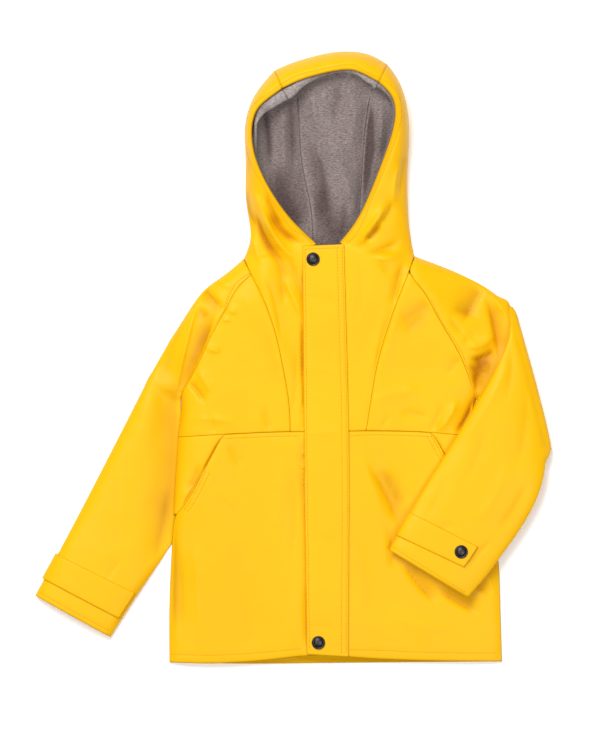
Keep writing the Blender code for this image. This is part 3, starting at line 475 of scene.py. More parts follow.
hood_left = cut_cloth(
    "left_hood_and_front", "hood_and_front_left", 3, COATED, "coated_cloth"
)
wave(hood_left, [(0.040, 0.00039, 13), (0.019, 0.00022, 14)], low=0.003)
crease(hood_left, [
    # x0, y0, x1, y1, bow, left, right, height
    (0.103, 0.168, 0.074, 0.127, 0.001, 0.0030, 0.0060, 0.0087),
    (0.098, 0.150, 0.080, 0.131, 0.001, 0.0035, 0.0030, -0.0081),
    (0.112, 0.176, 0.098, 0.150, 0.002, 0.0050, 0.0040, -0.0038),
    (0.084, 0.118, 0.118, 0.130, -0.002, 0.0030, 0.0060, -0.0038),
    (0.092, 0.110, 0.124, 0.118, -0.002, 0.0060, 0.0040, 0.0026),
    (0.125, 0.108, 0.115, 0.052, -0.003, 0.0050, 0.0070, -0.0038),
    (0.092, 0.112, 0.108, 0.092, 0.000, 0.0060, 0.0030, -0.0020),
    (0.074, 0.110, 0.072, 0.040, 0.001, 0.0050, 0.0060, -0.0017),
    (0.104, 0.060, 0.090, -0.020, -0.002, 0.0070, 0.0050, 0.0017),
    (0.127, 0.230, 0.121, 0.180, -0.002, 0.0040, 0.0050, -0.0035),
    (0.119, 0.216, 0.113, 0.170, -0.002, 0.0040, 0.0030, 0.0032),
], low=0.004)
pinch_edges(
    hood_left, sink=0.0005, pucker=0.0006, reach=0.009, spacing=0.006, seed=23, shade=0.20,
)

# ------------------------------------------------------------- hood centre strip
# A strip runs over the head from the forehead to the neck seam at the back, between the
# hood's two sides. Its far end is under the hood.

hood_top = cut_cloth("hood_centre_strip", "hood_centre", 3, COATED, "coated_cloth")
wave(hood_top, [(0.040, 0.00033, 15)], low=0.010)
crease(hood_top, [
    # x0, y0, x1, y1, bow, left, right, height
    (0.020, 0.345, 0.028, 0.318, 0.000, 0.006, 0.006, -0.0012),
    (0.060, 0.345, 0.052, 0.318, 0.000, 0.006, 0.007, -0.0010),
], low=0.020)
pinch_edges(
    hood_top, sink=0.0004, pucker=0.0004, reach=0.008, spacing=0.007, seed=25, shade=0.20,
)

# ---------------------------------------------------------------- chest panels
# The chest panels fill between the raglan seam, the strip beside the opening and the
# seam at the waist. They are drawn to the armpits in short folds, and slack elsewhere.


def draw_over(piece, place, reach, shift, high=1.0):
    """Eases the cloth round a place sideways, where it lies below high, so that it
    closes up to its neighbour or its outline runs on evenly."""
    points = points_of(piece)
    share = np.exp(-(np.linalg.norm(points[:, :2] - place, axis=1) / reach) ** 2)
    share = share * (points[:, 2] < high)
    points[:, :2] += share[:, None] * np.array(shift)
    move_points(piece, points)


chest_right = cut_cloth("right_chest_panel", "chest_right", 3, COATED, "coated_cloth")
wave(chest_right, [(0.042, 0.00033, 31), (0.020, 0.00016, 32)])
crease(chest_right, [
    # x0, y0, x1, y1, bow, left, right, height
    (-0.119, -0.026, -0.100, -0.050, 0.001, 0.0050, 0.0025, -0.0038),
    (-0.108, -0.016, -0.092, -0.040, 0.001, 0.0060, 0.0030, 0.0022),
    (-0.035, -0.056, -0.026, -0.084, 0.000, 0.0040, 0.0025, -0.0024),
    (-0.078, 0.053, -0.062, 0.050, 0.000, 0.0040, 0.0016, 0.0027),
    (-0.084, 0.043, -0.069, 0.041, 0.000, 0.0040, 0.0016, 0.0024),
    (-0.098, 0.010, -0.082, 0.006, 0.000, 0.0040, 0.0018, 0.0030),
    (-0.060, 0.076, -0.034, 0.016, 0.003, 0.0100, 0.0070, 0.0019),
    (-0.040, 0.050, -0.018, -0.040, 0.003, 0.0060, 0.0070, -0.0016),
    (-0.110, -0.070, -0.060, -0.074, 0.002, 0.0050, 0.0060, 0.0016),
    (-0.094, -0.064, -0.088, -0.088, 0.000, 0.0030, 0.0040, -0.0019),
])
pinch_edges(
    chest_right, sink=0.0006, pucker=0.0007, reach=0.008, spacing=0.006, seed=33, shade=0.45,
)

chest_left = cut_cloth("left_chest_panel", "chest_left", 3, COATED, "coated_cloth")
wave(chest_left, [(0.042, 0.00033, 34), (0.020, 0.00016, 35)])
crease(chest_left, [
    # x0, y0, x1, y1, bow, left, right, height
    (0.158, 0.062, 0.120, 0.034, -0.003, 0.0130, 0.0110, -0.0034),
    (0.146, 0.050, 0.122, 0.026, 0.000, 0.0160, 0.0020, -0.0012),
    (0.204, -0.048, 0.183, -0.086, 0.002, 0.0060, 0.0045, -0.0052),
    (0.184, -0.050, 0.163, -0.082, 0.002, 0.0050, 0.0050, 0.0038),
    (0.168, -0.054, 0.154, -0.084, 0.001, 0.0040, 0.0030, -0.0026),
    (0.090, -0.050, 0.144, -0.038, 0.004, 0.0120, 0.0080, 0.0023),
    (0.120, -0.062, 0.152, -0.068, 0.002, 0.0060, 0.0050, -0.0020),
    (0.188, 0.000, 0.172, -0.020, 0.000, 0.0050, 0.0060, -0.0020),
    (0.124, 0.080, 0.104, -0.010, -0.002, 0.0060, 0.0080, 0.0017),
    (0.106, -0.066, 0.098, -0.084, 0.000, 0.0030, 0.0030, -0.0017),
])
draw_over(chest_left, (0.1300, 0.0920), 0.008, (0.0010, 0.0026))
pinch_edges(
    chest_left, sink=0.0006, pucker=0.0007, reach=0.008, spacing=0.006, seed=36, shade=0.45,
)

# ------------------------------------------------------------- pocket facings
# Behind each slanted pocket mouth a facing carries on from the chest panel to the side
# seam, and runs a little way in under the lower front.

mouth_folds = {
    # x0, y0, x1, y1, bow, left, right, height
    "right": [
        (-0.0795, -0.090, -0.1020, -0.130, 0.000, 0.0030, 0.0022, -0.0042),
        (-0.1010, -0.126, -0.1270, -0.172, 0.000, 0.0030, 0.0016, -0.0026),
        (-0.1060, -0.122, -0.1200, -0.150, 0.002, 0.0030, 0.0050, -0.0030),
    ],
    "left": [
        (0.1575, -0.088, 0.1800, -0.128, 0.000, 0.0020, 0.0030, -0.0034),
    ],
}
for side, flat_area in (("right", 0.0038), ("left", 0.0040)):
    facing = cut_cloth(
        f"{side}_pocket_facing", f"pocket_facing_{side}", 3, COATED, "coated_cloth"
    )
    crease(facing, mouth_folds[side])
    pinch_edges(facing, sink=0.0003, pucker=0.0003, reach=0.006, spacing=0.007, seed=41)

# --------------------------------------------------------------- lower fronts
# The lower fronts hang from the waist seam to a turned hem. Their slanted upper corners
# are the pocket mouths. They are smooth, with a few folds where the left sleeve lies.

lower_right = cut_cloth("right_lower_front", "lower_front_right", 3, COATED, "coated_cloth")
wave(lower_right, [(0.055, 0.00033, 51), (0.023, 0.00016, 52)])
crease(lower_right, [
    # x0, y0, x1, y1, bow, left, right, height
    (0.0116, -0.086, 0.0124, -0.170, -0.0004, 0.0040, 0.0026, -0.0044),
    (0.0122, -0.160, 0.0138, -0.246, 0.0003, 0.0040, 0.0015, -0.0040),
    (0.0136, -0.236, 0.0154, -0.332, -0.0003, 0.0040, 0.0017, -0.0044),
    (-0.012, -0.095, -0.020, -0.200, 0.003, 0.010, 0.007, 0.0016),
    (0.002, -0.110, -0.004, -0.230, 0.002, 0.007, 0.006, -0.0017),
    (-0.074, -0.100, -0.058, -0.124, 0.000, 0.006, 0.004, -0.0018),
    (-0.090, -0.150, -0.060, -0.170, 0.002, 0.008, 0.006, 0.0013),
    (-0.112, -0.205, -0.108, -0.320, 0.003, 0.009, 0.007, 0.0018),
    (-0.128, -0.220, -0.126, -0.310, 0.001, 0.006, 0.006, -0.0018),
    (-0.060, -0.260, -0.050, -0.330, 0.003, 0.009, 0.010, -0.0013),
    (0.006, -0.270, 0.000, -0.326, 0.000, 0.006, 0.006, 0.0013),
])
# painted shade along the side edge; the cloth itself barely moves
crease(lower_right, [
    # x0, y0, x1, y1, bow, left, right, height
    (-0.1330, -0.185, -0.1335, -0.310, 0.000, 0.0050, 0.0070, -0.0044),
], press=0.1)
draw_over(lower_right, (-0.1345, -0.1745), 0.006, (-0.0010, 0.0026))
pinch_edges(
    lower_right, sink=0.0006, pucker=0.0006, reach=0.008, spacing=0.007, seed=53, shade=0.75,
)

lower_left = cut_cloth("left_lower_front", "lower_front_left", 3, COATED, "coated_cloth")
wave(lower_left, [(0.055, 0.00033, 54), (0.023, 0.00016, 55)])
crease(lower_left, [
    # x0, y0, x1, y1, bow, left, right, height
    (0.0860, -0.124, 0.1180, -0.190, 0.003, 0.0130, 0.0030, -0.0044),
    (0.0760, -0.110, 0.1000, -0.190, 0.004, 0.0060, 0.0080, 0.0020),
    (0.1000, -0.130, 0.1200, -0.168, 0.002, 0.0090, 0.0020, -0.0026),
    (0.1060, -0.190, 0.1120, -0.240, 0.000, 0.0090, 0.0020, -0.0032),
    (0.1240, -0.232, 0.1600, -0.276, -0.002, 0.0120, 0.0020, -0.0046),
    (0.1640, -0.262, 0.2080, -0.288, -0.002, 0.0120, 0.0018, -0.0046),
    (0.1900, -0.244, 0.2220, -0.268, 0.000, 0.0060, 0.0020, -0.0026),
    (0.2080, -0.230, 0.2260, -0.262, 0.000, 0.0050, 0.0030, 0.0018),
    (0.0700, -0.210, 0.0860, -0.300, 0.003, 0.0100, 0.0050, -0.0014),
    (0.1100, -0.290, 0.1700, -0.306, -0.004, 0.0080, 0.0100, 0.0016),
])
pinch_edges(
    lower_left, sink=0.0006, pucker=0.0006, reach=0.008, spacing=0.007, seed=56, shade=0.75,
)

# ------------------------------------------------------------------ storm flap
# The flap over the front opening is cloth folded double. It is sewn down along its left
# edge, and snaps hold its free edge, so it lies flat with only slight ripples.

flap = cut_cloth("storm_flap", "flap", 4, COATED, "coated_cloth")
wave(flap, [(0.050, 0.00028, 61), (0.018, 0.00014, 62)])
crease(flap, [
    # x0, y0, x1, y1, bow, left, right, height
    (0.012, 0.070, 0.050, 0.058, 0.002, 0.008, 0.008, -0.0007),
    (0.014, -0.010, 0.058, -0.020, 0.000, 0.010, 0.008, 0.0007),
    (0.014, -0.085, 0.060, -0.084, 0.000, 0.006, 0.006, 0.0008),
    (0.014, -0.200, 0.058, -0.215, 0.002, 0.012, 0.010, -0.0008),
    (0.014, -0.300, 0.050, -0.306, 0.000, 0.009, 0.009, -0.0009),
])
pinch_edges(
    flap, sink=0.0003, pucker=0.0004, reach=0.007, spacing=0.008, seed=63, shade=0.20,
)

# --------------------------------------------------------------------- sleeves
# Raglan sleeves, each one tube. The right one lies beside the body and partly beneath it.
# The left one is folded over where its elbow is, and its end lies on the front.

sleeve_right = cut_cloth("right_sleeve", "sleeve_right", 3, COATED, "coated_cloth")
wave(sleeve_right, [(0.050, 0.00055, 71), (0.022, 0.00028, 72)], low=0.004)
crease(sleeve_right, [
    # x0, y0, x1, y1, bow, left, right, height
    (-0.1060, 0.068, -0.1310, -0.034, -0.001, 0.0024, 0.0070, 0.0044),
    (-0.0910, 0.046, -0.1220, -0.046, 0.002, 0.0030, 0.0130, -0.0076),
    (-0.1020, 0.082, -0.0760, 0.054, -0.002, 0.0024, 0.0110, -0.0050),
    (-0.0940, 0.092, -0.0680, 0.078, -0.001, 0.0060, 0.0024, 0.0026),
    (-0.1140, 0.058, -0.0960, 0.046, 0.000, 0.0020, 0.0070, -0.0034),
    (-0.0880, 0.056, -0.0740, 0.060, 0.000, 0.0030, 0.0016, 0.0020),
    (-0.1960, -0.228, -0.2100, -0.250, 0.000, 0.0030, 0.0060, -0.0016),
], low=0.005)
# painted shade on the sleeve's inner third beside the body; the cloth barely moves
crease(sleeve_right, [
    # x0, y0, x1, y1, bow, left, right, height
    (-0.1330, -0.020, -0.1400, -0.196, 0.003, 0.0060, 0.0200, -0.0046),
    (-0.1420, -0.150, -0.1560, -0.230, 0.001, 0.0060, 0.0120, -0.0036),
    (-0.1180, 0.060, -0.1480, -0.030, 0.000, 0.0040, 0.0160, -0.0020),
], low=0.001, press=0.12)
draw_over(sleeve_right, (-0.1285, -0.0500), 0.010, (0.0013, 0.0))
pinch_edges(sleeve_right, sink=0.0005, pucker=0.0007, reach=0.009, spacing=0.006, seed=73)

sleeve_left = cut_cloth("left_sleeve", "sleeve_left", 3, COATED, "coated_cloth")
wave(sleeve_left, [(0.050, 0.00055, 74), (0.022, 0.00028, 75)], low=0.006)
upper_arm_top = 0.0185
crease(sleeve_left, [
    # x0, y0, x1, y1, bow, left, right, height
    (0.2190, 0.064, 0.2310, 0.000, 0.001, 0.0110, 0.0016, -0.0062),
    (0.2240, 0.078, 0.2400, 0.046, -0.002, 0.0060, 0.0030, 0.0030),
    (0.2160, 0.080, 0.1920, 0.040, -0.001, 0.0030, 0.0160, -0.0044),
    (0.1760, 0.052, 0.2080, 0.044, 0.003, 0.0100, 0.0040, -0.0022),
    (0.1980, 0.010, 0.2260, 0.024, -0.003, 0.0060, 0.0020, 0.0046),
    (0.2010, -0.002, 0.2260, 0.012, -0.003, 0.0016, 0.0120, -0.0070),
    (0.2060, -0.040, 0.2190, -0.008, 0.002, 0.0100, 0.0040, -0.0060),
    (0.1780, 0.044, 0.1920, 0.028, -0.001, 0.0020, 0.0060, -0.0022),
    (0.1900, 0.018, 0.2060, 0.028, 0.000, 0.0020, 0.0050, -0.0016),
    (0.1980, -0.010, 0.2090, -0.014, 0.000, 0.0020, 0.0040, -0.0024),
], low=0.004, high=upper_arm_top)
crease(sleeve_left, [
    # x0, y0, x1, y1, bow, left, right, height
    (0.243, 0.030, 0.238, -0.050, 0.004, 0.0070, 0.0060, -0.0022),
    (0.240, -0.010, 0.196, -0.090, 0.002, 0.0050, 0.0080, 0.0018),
    (0.262, -0.040, 0.252, -0.120, 0.003, 0.0070, 0.0080, -0.0018),
    (0.216, -0.070, 0.192, -0.140, 0.003, 0.0090, 0.0070, -0.0015),
    (0.240, -0.120, 0.206, -0.186, 0.004, 0.0080, 0.0090, 0.0020),
    (0.170, -0.130, 0.150, -0.180, 0.003, 0.0070, 0.0080, -0.0013),
    (0.262, -0.140, 0.228, -0.196, 0.003, 0.0060, 0.0060, -0.0020),
    (0.196, -0.240, 0.222, -0.206, 0.002, 0.0050, 0.0040, -0.0022),
    (0.160, -0.196, 0.178, -0.188, 0.001, 0.0040, 0.0040, -0.0013),
], low=0.0195)
# painted shade near the armpit; the cloth barely moves
crease(sleeve_left, [
    # x0, y0, x1, y1, bow, left, right, height
    (0.2020, -0.036, 0.2180, 0.002, 0.001, 0.0090, 0.0100, -0.0056),
], low=0.004, high=upper_arm_top, press=0.1)
draw_over(sleeve_left, (0.2070, -0.0480), 0.010, (-0.0022, 0.0), high=upper_arm_top)
draw_over(sleeve_left, (0.2910, -0.1035), 0.0045, (-0.0018, 0.0))
draw_over(sleeve_left, (0.2865, -0.1080), 0.0065, (0.0040, 0.0))
draw_over(sleeve_left, (0.2395, 0.0640), 0.007, (0.0040, 0.0020))
draw_over(sleeve_left, (0.2505, 0.0590), 0.0045, (-0.0024, -0.0016))
pinch_edges(sleeve_left, sink=0.0005, pucker=0.0007, reach=0.009, spacing=0.006, seed=76)

# ------------------------------------------------------------------ cuff straps
# Each strap is sewn in at the underarm seam, goes over the sleeve and round to its back,
# and ends square under a snap, which lets the cuff be drawn in.

for side in ("right", "left"):
    strap = cut_cloth(f"{side}_cuff_strap", f"cuff_strap_{side}", 3, COATED, "coated_cloth")
    pinch_edges(
        strap, sink=0.0003, pucker=0.0004, reach=0.006, spacing=0.006, seed=81, shade=0.25,
    )

# ------------------------------------------------------------------ hood lining
# The hood is lined with grey marl jersey in three pieces, like the shell. It is soft and
# loose, so it sags into hollows beside its seams and puffs out below the forehead.


def grey_jersey():
    jersey = bpy.data.materials.new("jersey_lining")
    jersey.use_nodes = True
    tree = jersey.node_tree
    shader = tree.nodes["Principled BSDF"]
    shader.inputs["Roughness"].default_value = 0.92
    shader.inputs["Specular IOR Level"].default_value = 0.15
    shader.inputs["Sheen Weight"].default_value = 0.25
    shader.inputs["Sheen Roughness"].default_value = 0.55
    place = tree.nodes.new("ShaderNodeTexCoord").outputs["Object"]
    stretch = tree.nodes.new("ShaderNodeMapping")
    stretch.inputs["Scale"].default_value = (1.0, 3.2, 1.0)
    link(tree, place, stretch.inputs["Vector"])
    streaks = noise(tree, stretch.outputs["Vector"], 330.0, 2.5, 0.65)
    yarns = ramp(tree, streaks, 0.30, (0.122, 0.090, 0.082, 1), 0.70, (0.340, 0.282, 0.270, 1))
    # Painted shade: the grey is darkened in folds and in seam ditches.
    colour = with_painted_shade(tree, yarns, {
        "Fold Start": 0.0,
        "Fold Full": 1.2,
        "Painted Fold Shade": (0.40, 0.34, 0.34, 1),
        "Painted Deep Fold Shade": (1, 1, 1, 1),
        "Seam Width": 0.0012,
        "Painted Seam Shade": (0.20, 0.17, 0.17, 1),
    })
    # painted highlight: the lining is lightened where it puffs out below the rim
    colour = times(tree, colour, eased(tree, "puffed", 0.1, 0.9), (1.60, 1.72, 1.76, 1))
    link(tree, colour, shader.inputs["Base Color"])
    knit = bump(tree, streaks, 0.25, 0.0004)
    link(tree, knit.outputs["Normal"], shader.inputs["Normal"])
    return jersey


MARL = grey_jersey()
PUFFS = (
    # x, y, reach, share
    (-0.022, 0.306, 0.040, 1.0),
    (0.080, 0.312, 0.022, 0.7),
    (-0.050, 0.250, 0.030, 0.35),
)
PUFF_DEPTH = 0.012
PUFFED_ABOVE = 0.028
HOOD_MIDDLE = (0.035, 0.225)


def puff_rim(lining):
    """Below the hood's edge the loose lining bulges in, most at the forehead's right. Where
    it is marked as puffed, its colour is lightened as a painted highlight."""
    points = points_of(lining)
    inward = np.array(HOOD_MIDDLE) - points[:, :2]
    inward /= np.linalg.norm(inward, axis=1, keepdims=True)
    bulge = np.exp(-(((points[:, 2] - 0.036) / 0.007) ** 2))
    toward = np.zeros(len(points))
    for x, y, reach, share in PUFFS:
        away = np.linalg.norm(points[:, :2] - (x, y), axis=1)
        toward += share * np.exp(-((away / reach) ** 2))
    ripple = 1 + 0.35 * unevenness(points[:, :2], 0.016, 90)
    points[:, :2] += inward * (PUFF_DEPTH * bulge * toward * ripple)[:, None]
    move_points(lining, points)
    near_rim = points[:, 2] > PUFFED_ABOVE
    write(lining, "puffed", "FLOAT", np.clip(1.3 * toward * near_rim, 0, 1))


lining_right = cut_cloth("right_hood_lining", "lining_right", 3, MARL, "jersey_lining")
wave(lining_right, [(0.030, 0.0012, 91), (0.012, 0.0004, 92)])
crease(lining_right, [
    # x0, y0, x1, y1, bow, left, right, height
    (-0.034, 0.286, -0.026, 0.215, 0.002, 0.0060, 0.0050, -0.0065),
    (-0.045, 0.280, -0.044, 0.225, 0.001, 0.0060, 0.0070, 0.0052),
    (-0.014, 0.290, -0.012, 0.190, 0.002, 0.0090, 0.0070, 0.0078),
    (-0.002, 0.285, 0.000, 0.200, 0.000, 0.0050, 0.0050, -0.0039),
    (-0.020, 0.200, 0.008, 0.145, -0.003, 0.0060, 0.0060, -0.0031),
])
# painted shade on the lining's shaded parts; the cloth barely moves
crease(lining_right, [
    # x0, y0, x1, y1, bow, left, right, height
    (-0.024, 0.220, 0.010, 0.140, 0.000, 0.0300, 0.0200, -0.0052),
    (-0.004, 0.300, 0.000, 0.220, 0.000, 0.0100, 0.0100, -0.0040),
], press=0.05)
puff_rim(lining_right)
pinch_edges(
    lining_right, sink=0.0008, pucker=0.0008, reach=0.010, spacing=0.007, seed=97, shade=0.55,
)

lining_left = cut_cloth("left_hood_lining", "lining_left", 3, MARL, "jersey_lining")
wave(lining_left, [(0.030, 0.0012, 93), (0.012, 0.0004, 94)])
crease(lining_left, [
    # x0, y0, x1, y1, bow, left, right, height
    (0.086, 0.288, 0.080, 0.186, 0.003, 0.0050, 0.0060, -0.0065),
    (0.099, 0.292, 0.098, 0.240, 0.001, 0.0060, 0.0060, 0.0065),
    (0.110, 0.280, 0.100, 0.222, 0.002, 0.0050, 0.0040, -0.0039),
    (0.092, 0.230, 0.082, 0.170, 0.001, 0.0050, 0.0050, 0.0026),
])
# painted shade on the lining's shaded parts; the cloth barely moves
crease(lining_left, [
    # x0, y0, x1, y1, bow, left, right, height
    (0.084, 0.290, 0.074, 0.160, 0.000, 0.0120, 0.0100, -0.0060),
], press=0.05)
puff_rim(lining_left)
pinch_edges(
    lining_left, sink=0.0008, pucker=0.0008, reach=0.010, spacing=0.007, seed=98, shade=0.55,
)

lining_centre = cut_cloth("centre_hood_lining", "lining_centre", 3, MARL, "jersey_lining")
wave(lining_centre, [(0.034, 0.0012, 95), (0.012, 0.0004, 96)])
crease(lining_centre, [
    # x0, y0, x1, y1, bow, left, right, height
    (0.022, 0.236, 0.030, 0.160, 0.008, 0.0080, 0.0060, -0.0040),
    (0.038, 0.246, 0.070, 0.170, 0.003, 0.0130, 0.0110, 0.0091),
    (0.070, 0.290, 0.060, 0.230, 0.004, 0.0100, 0.0080, 0.0039),
    (0.020, 0.300, 0.030, 0.250, -0.002, 0.0080, 0.0090, 0.0052),
    (0.050, 0.310, 0.042, 0.262, 0.002, 0.0080, 0.0060, -0.0034),
    (0.060, 0.180, 0.052, 0.130, 0.002, 0.0070, 0.0070, -0.0031),
])
# painted shade on the lining's shaded parts; the cloth barely moves
crease(lining_centre, [
    # x0, y0, x1, y1, bow, left, right, height
    (0.030, 0.190, 0.050, 0.120, 0.000, 0.0140, 0.0300, -0.0052),
    (0.016, 0.250, 0.030, 0.180, 0.000, 0.0120, 0.0120, -0.0030),
], press=0.05)
puff_rim(lining_centre)
pinch_edges(
    lining_centre, sink=0.0008, pucker=0.0008, reach=0.010, spacing=0.007, seed=99, shade=0.55,
)

# ----------------------------------------------------------------------- snaps
# Each snap's cap is a shallow pressed dome of dark gunmetal with a rolled edge, 15 mm
# across, clamped through the cloth. One pattern is made and copied onto each snap.


def gunmetal():
    metal = bpy.data.materials.new("snap_metal")
    metal.use_nodes = True
    shader = metal.node_tree.nodes["Principled BSDF"]
    shader.inputs["Base Color"].default_value = (0.048, 0.044, 0.045, 1)
    shader.inputs["Metallic"].default_value = 1.0
    shader.inputs["Roughness"].default_value = 0.40
    return metal


SNAP_METAL = gunmetal()
SNAP_STEPS = (
    # radius, height
    (0.0072, 0.0), (0.0075, 0.0003), (0.0075, 0.0008), (0.0071, 0.0013), (0.0066, 0.0014),
    (0.0062, 0.0011), (0.0059, 0.0008), (0.0055, 0.0009), (0.0050, 0.0013), (0.0041, 0.0018),
    (0.0030, 0.0021), (0.0016, 0.0023), (0.0004, 0.0024),
)
DOME_MIDDLE = 0.004
bpy.ops.object.select_all(action="DESELECT")
bpy.ops.mesh.primitive_circle_add(vertices=48, radius=SNAP_STEPS[0][0], fill_type="NGON")
pattern = bpy.context.view_layer.objects.active
bpy.ops.object.mode_set(mode="EDIT")
bpy.context.tool_settings.mesh_select_mode = (False, False, True)
bpy.ops.mesh.select_all(action="SELECT")
for (wide, low), (narrow, high) in zip(SNAP_STEPS, SNAP_STEPS[1:]):
    bpy.ops.mesh.extrude_region_move(TRANSFORM_OT_translate={"value": (0, 0, high - low)})
    ratio = narrow / wide
    bpy.ops.transform.resize(value=(ratio, ratio, 1), center_override=(0, 0, high))
bpy.ops.mesh.select_all(action="SELECT")
bpy.ops.mesh.normals_make_consistent(inside=False)
bpy.ops.object.mode_set(mode="OBJECT")
bpy.ops.object.shade_smooth_by_angle(angle=math.radians(60))
pattern.data.materials.append(SNAP_METAL)
for node in ("neck_snap", "hem_snap", "right_cuff_snap", "left_cuff_snap"):
    part = frame["nodes"][node]
    spots = np.array([part.matrix_world @ v.co for v in part.data.vertices])
    middle = spots.mean(axis=0)
    _, _, axes = np.linalg.svd(spots - middle)
    axis = axes[2]
    heights = (spots - middle) @ axis
    radii = np.linalg.norm((spots - middle) - heights[:, None] * axis, axis=1)
    dome = heights[radii < DOME_MIDDLE]
    if dome.max() < -dome.min():
        axis, heights = -axis, -heights
    pick(pattern)
    bpy.ops.object.duplicate()
    cap = bpy.context.view_layer.objects.active
    cap.name = cap.data.name = node.replace("_snap", "_cap")
    cap.rotation_euler = Vector((0, 0, 1)).rotation_difference(Vector(axis)).to_euler()
    cap.location = Vector(middle + axis * heights.min())
    bpy.ops.object.transform_apply(location=True, rotation=True, scale=True)
    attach(cap, "root")
    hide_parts(node)
bpy.data.objects.remove(pattern)

# -------------------------------------------------------------------- stitching
# Yellow thread, sewn through in short straight stitches beside the seams, round the
# flap, along the hem and the pocket mouths, and across the cuffs. The straps have none.


def thread_material():
    thread = bpy.data.materials.new("sewing_thread")
    thread.use_nodes = True
    shader = thread.node_tree.nodes["Principled BSDF"]
    # painted shade: the thread is darker than the cloth, for the shade of its holes and grooves
    shader.inputs["Base Color"].default_value = (0.72, 0.33, 0.001, 1)
    shader.inputs["Roughness"].default_value = 0.55
    return thread


THREAD = thread_material()
STITCH = 0.0026
STITCH_GAP = 0.0010
THREAD_RADIUS = 0.00034
SIDES = 6
STEEPEST = 0.002
MARK_STEP = 0.001
LINE_STEP = 0.008
GROOVE_WIDTH = 0.0013
GROOVE_DEPTH = 0.0005


def surface_of(pieces):
    """What a needle coming down from above meets."""
    corners, faces = [], []
    for piece in pieces:
        start = len(corners)
        corners += [v.co.copy() for v in piece.data.vertices]
        faces += [[start + v for v in face.vertices] for face in piece.data.polygons]
    return BVHTree.FromPolygons(corners, faces)


def press_rows(pieces, rows, ceiling):
    """The stitches pull the cloth below the ceiling down into a fine groove."""
    marks = [(x, y, 0.0) for row in rows for x, y in row]
    for start, end in ((row[k], row[k + 1]) for row in rows for k in range(len(row) - 1)):
        count = int(math.dist(start, end) / MARK_STEP)
        marks += [(*(start + (end - start) * k / count), 0.0) for k in range(1, count)]
    tree = tree_of(marks)
    for piece in pieces:
        points = points_of(piece)
        away = np.array([tree.find((x, y, 0.0))[2] for x, y, _ in points])
        groove = np.exp(-((away / GROOVE_WIDTH) ** 2)) * (points[:, 2] < ceiling)
        points[:, 2] -= GROOVE_DEPTH * groove
        move_points(piece, points)


def sew(name, pieces, rows, ceiling=0.2):
    """Stitches along rows of places, on top of what lies below the ceiling."""
    press_rows(pieces, rows, ceiling)
    ground = surface_of(pieces)
    corners, faces = [], []
    for row in rows:
        path = np.array(row, float)
        steps = np.linalg.norm(np.diff(path, axis=0), axis=1)
        marks = np.concatenate([[0], np.cumsum(steps)])
        count = int(marks[-1] / (STITCH + STITCH_GAP))
        for number in range(count):
            ends = []
            begin = number * (STITCH + STITCH_GAP)
            for at in (begin, begin + STITCH):
                x, y = (float(np.interp(at, marks, path[:, k])) for k in (0, 1))
                needle = Vector((x, y, ceiling))
                hit, normal, _, _ = ground.ray_cast(needle, Vector((0, 0, -1)))
                if hit is None:
                    break
                ends.append((hit, normal))
            if len(ends) < 2 or abs(ends[0][0].z - ends[1][0].z) > STEEPEST:
                continue
            (first, normal), (last, _) = ends
            along = (last - first).normalized()
            side = along.cross(normal).normalized()
            start = len(corners)
            for share, swell in ((0.0, 0.35), (0.25, 1.0), (0.75, 1.0), (1.0, 0.35)):
                lift = THREAD_RADIUS * (0.1 if swell < 1 else 0.7)
                middle = first.lerp(last, share) + normal * lift
                for turn in range(SIDES):
                    angle = turn * math.tau / SIDES
                    out = side * math.cos(angle) + normal * math.sin(angle)
                    corners.append(middle + out * THREAD_RADIUS * swell)
            for ring in range(3):
                for turn in range(SIDES):
                    a = start + ring * SIDES + turn
                    b = start + ring * SIDES + (turn + 1) % SIDES
                    faces.append((a, b, b + SIDES, a + SIDES))
            faces.append(tuple(start + turn for turn in reversed(range(SIDES))))
            faces.append(tuple(start + 3 * SIDES + turn for turn in range(SIDES)))
    mesh = bpy.data.meshes.new(name)
    mesh.from_pydata(corners, [], faces)
    seam = bpy.data.objects.new(name, mesh)
    bpy.context.scene.collection.objects.link(seam)
    pick(seam)
    bpy.ops.object.mode_set(mode="EDIT")
    bpy.ops.mesh.select_all(action="SELECT")
    bpy.ops.mesh.normals_make_consistent(inside=False)
    bpy.ops.object.mode_set(mode="OBJECT")
    bpy.ops.object.shade_smooth()
    mesh.materials.append(THREAD)
    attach(seam, "root")


def beside(path, offset):
    """A smooth line that keeps the offset to the left of a path."""
    path = np.array(path, float)
    steps = np.linalg.norm(np.diff(path, axis=0), axis=1)
    marks = np.concatenate([[0], np.cumsum(steps)])
    slopes = np.gradient(path, marks, axis=0)
    fine = np.linspace(0, marks[-1], max(12, int(marks[-1] / LINE_STEP)))
    at = np.clip(np.searchsorted(marks, fine) - 1, 0, len(steps) - 1)
    t = ((fine - marks[at]) / steps[at])[:, None]
    span = steps[at][:, None]
    line = (
        (2 * t**3 - 3 * t**2 + 1) * path[at] + (t**3 - 2 * t**2 + t) * span * slopes[at]
        + (3 * t**2 - 2 * t**3) * path[at + 1] + (t**3 - t**2) * span * slopes[at + 1]
    )
    way = np.gradient(line, axis=0)
    way /= np.linalg.norm(way, axis=1, keepdims=True)
    return line + np.stack([-way[:, 1], way[:, 0]], axis=1) * offset


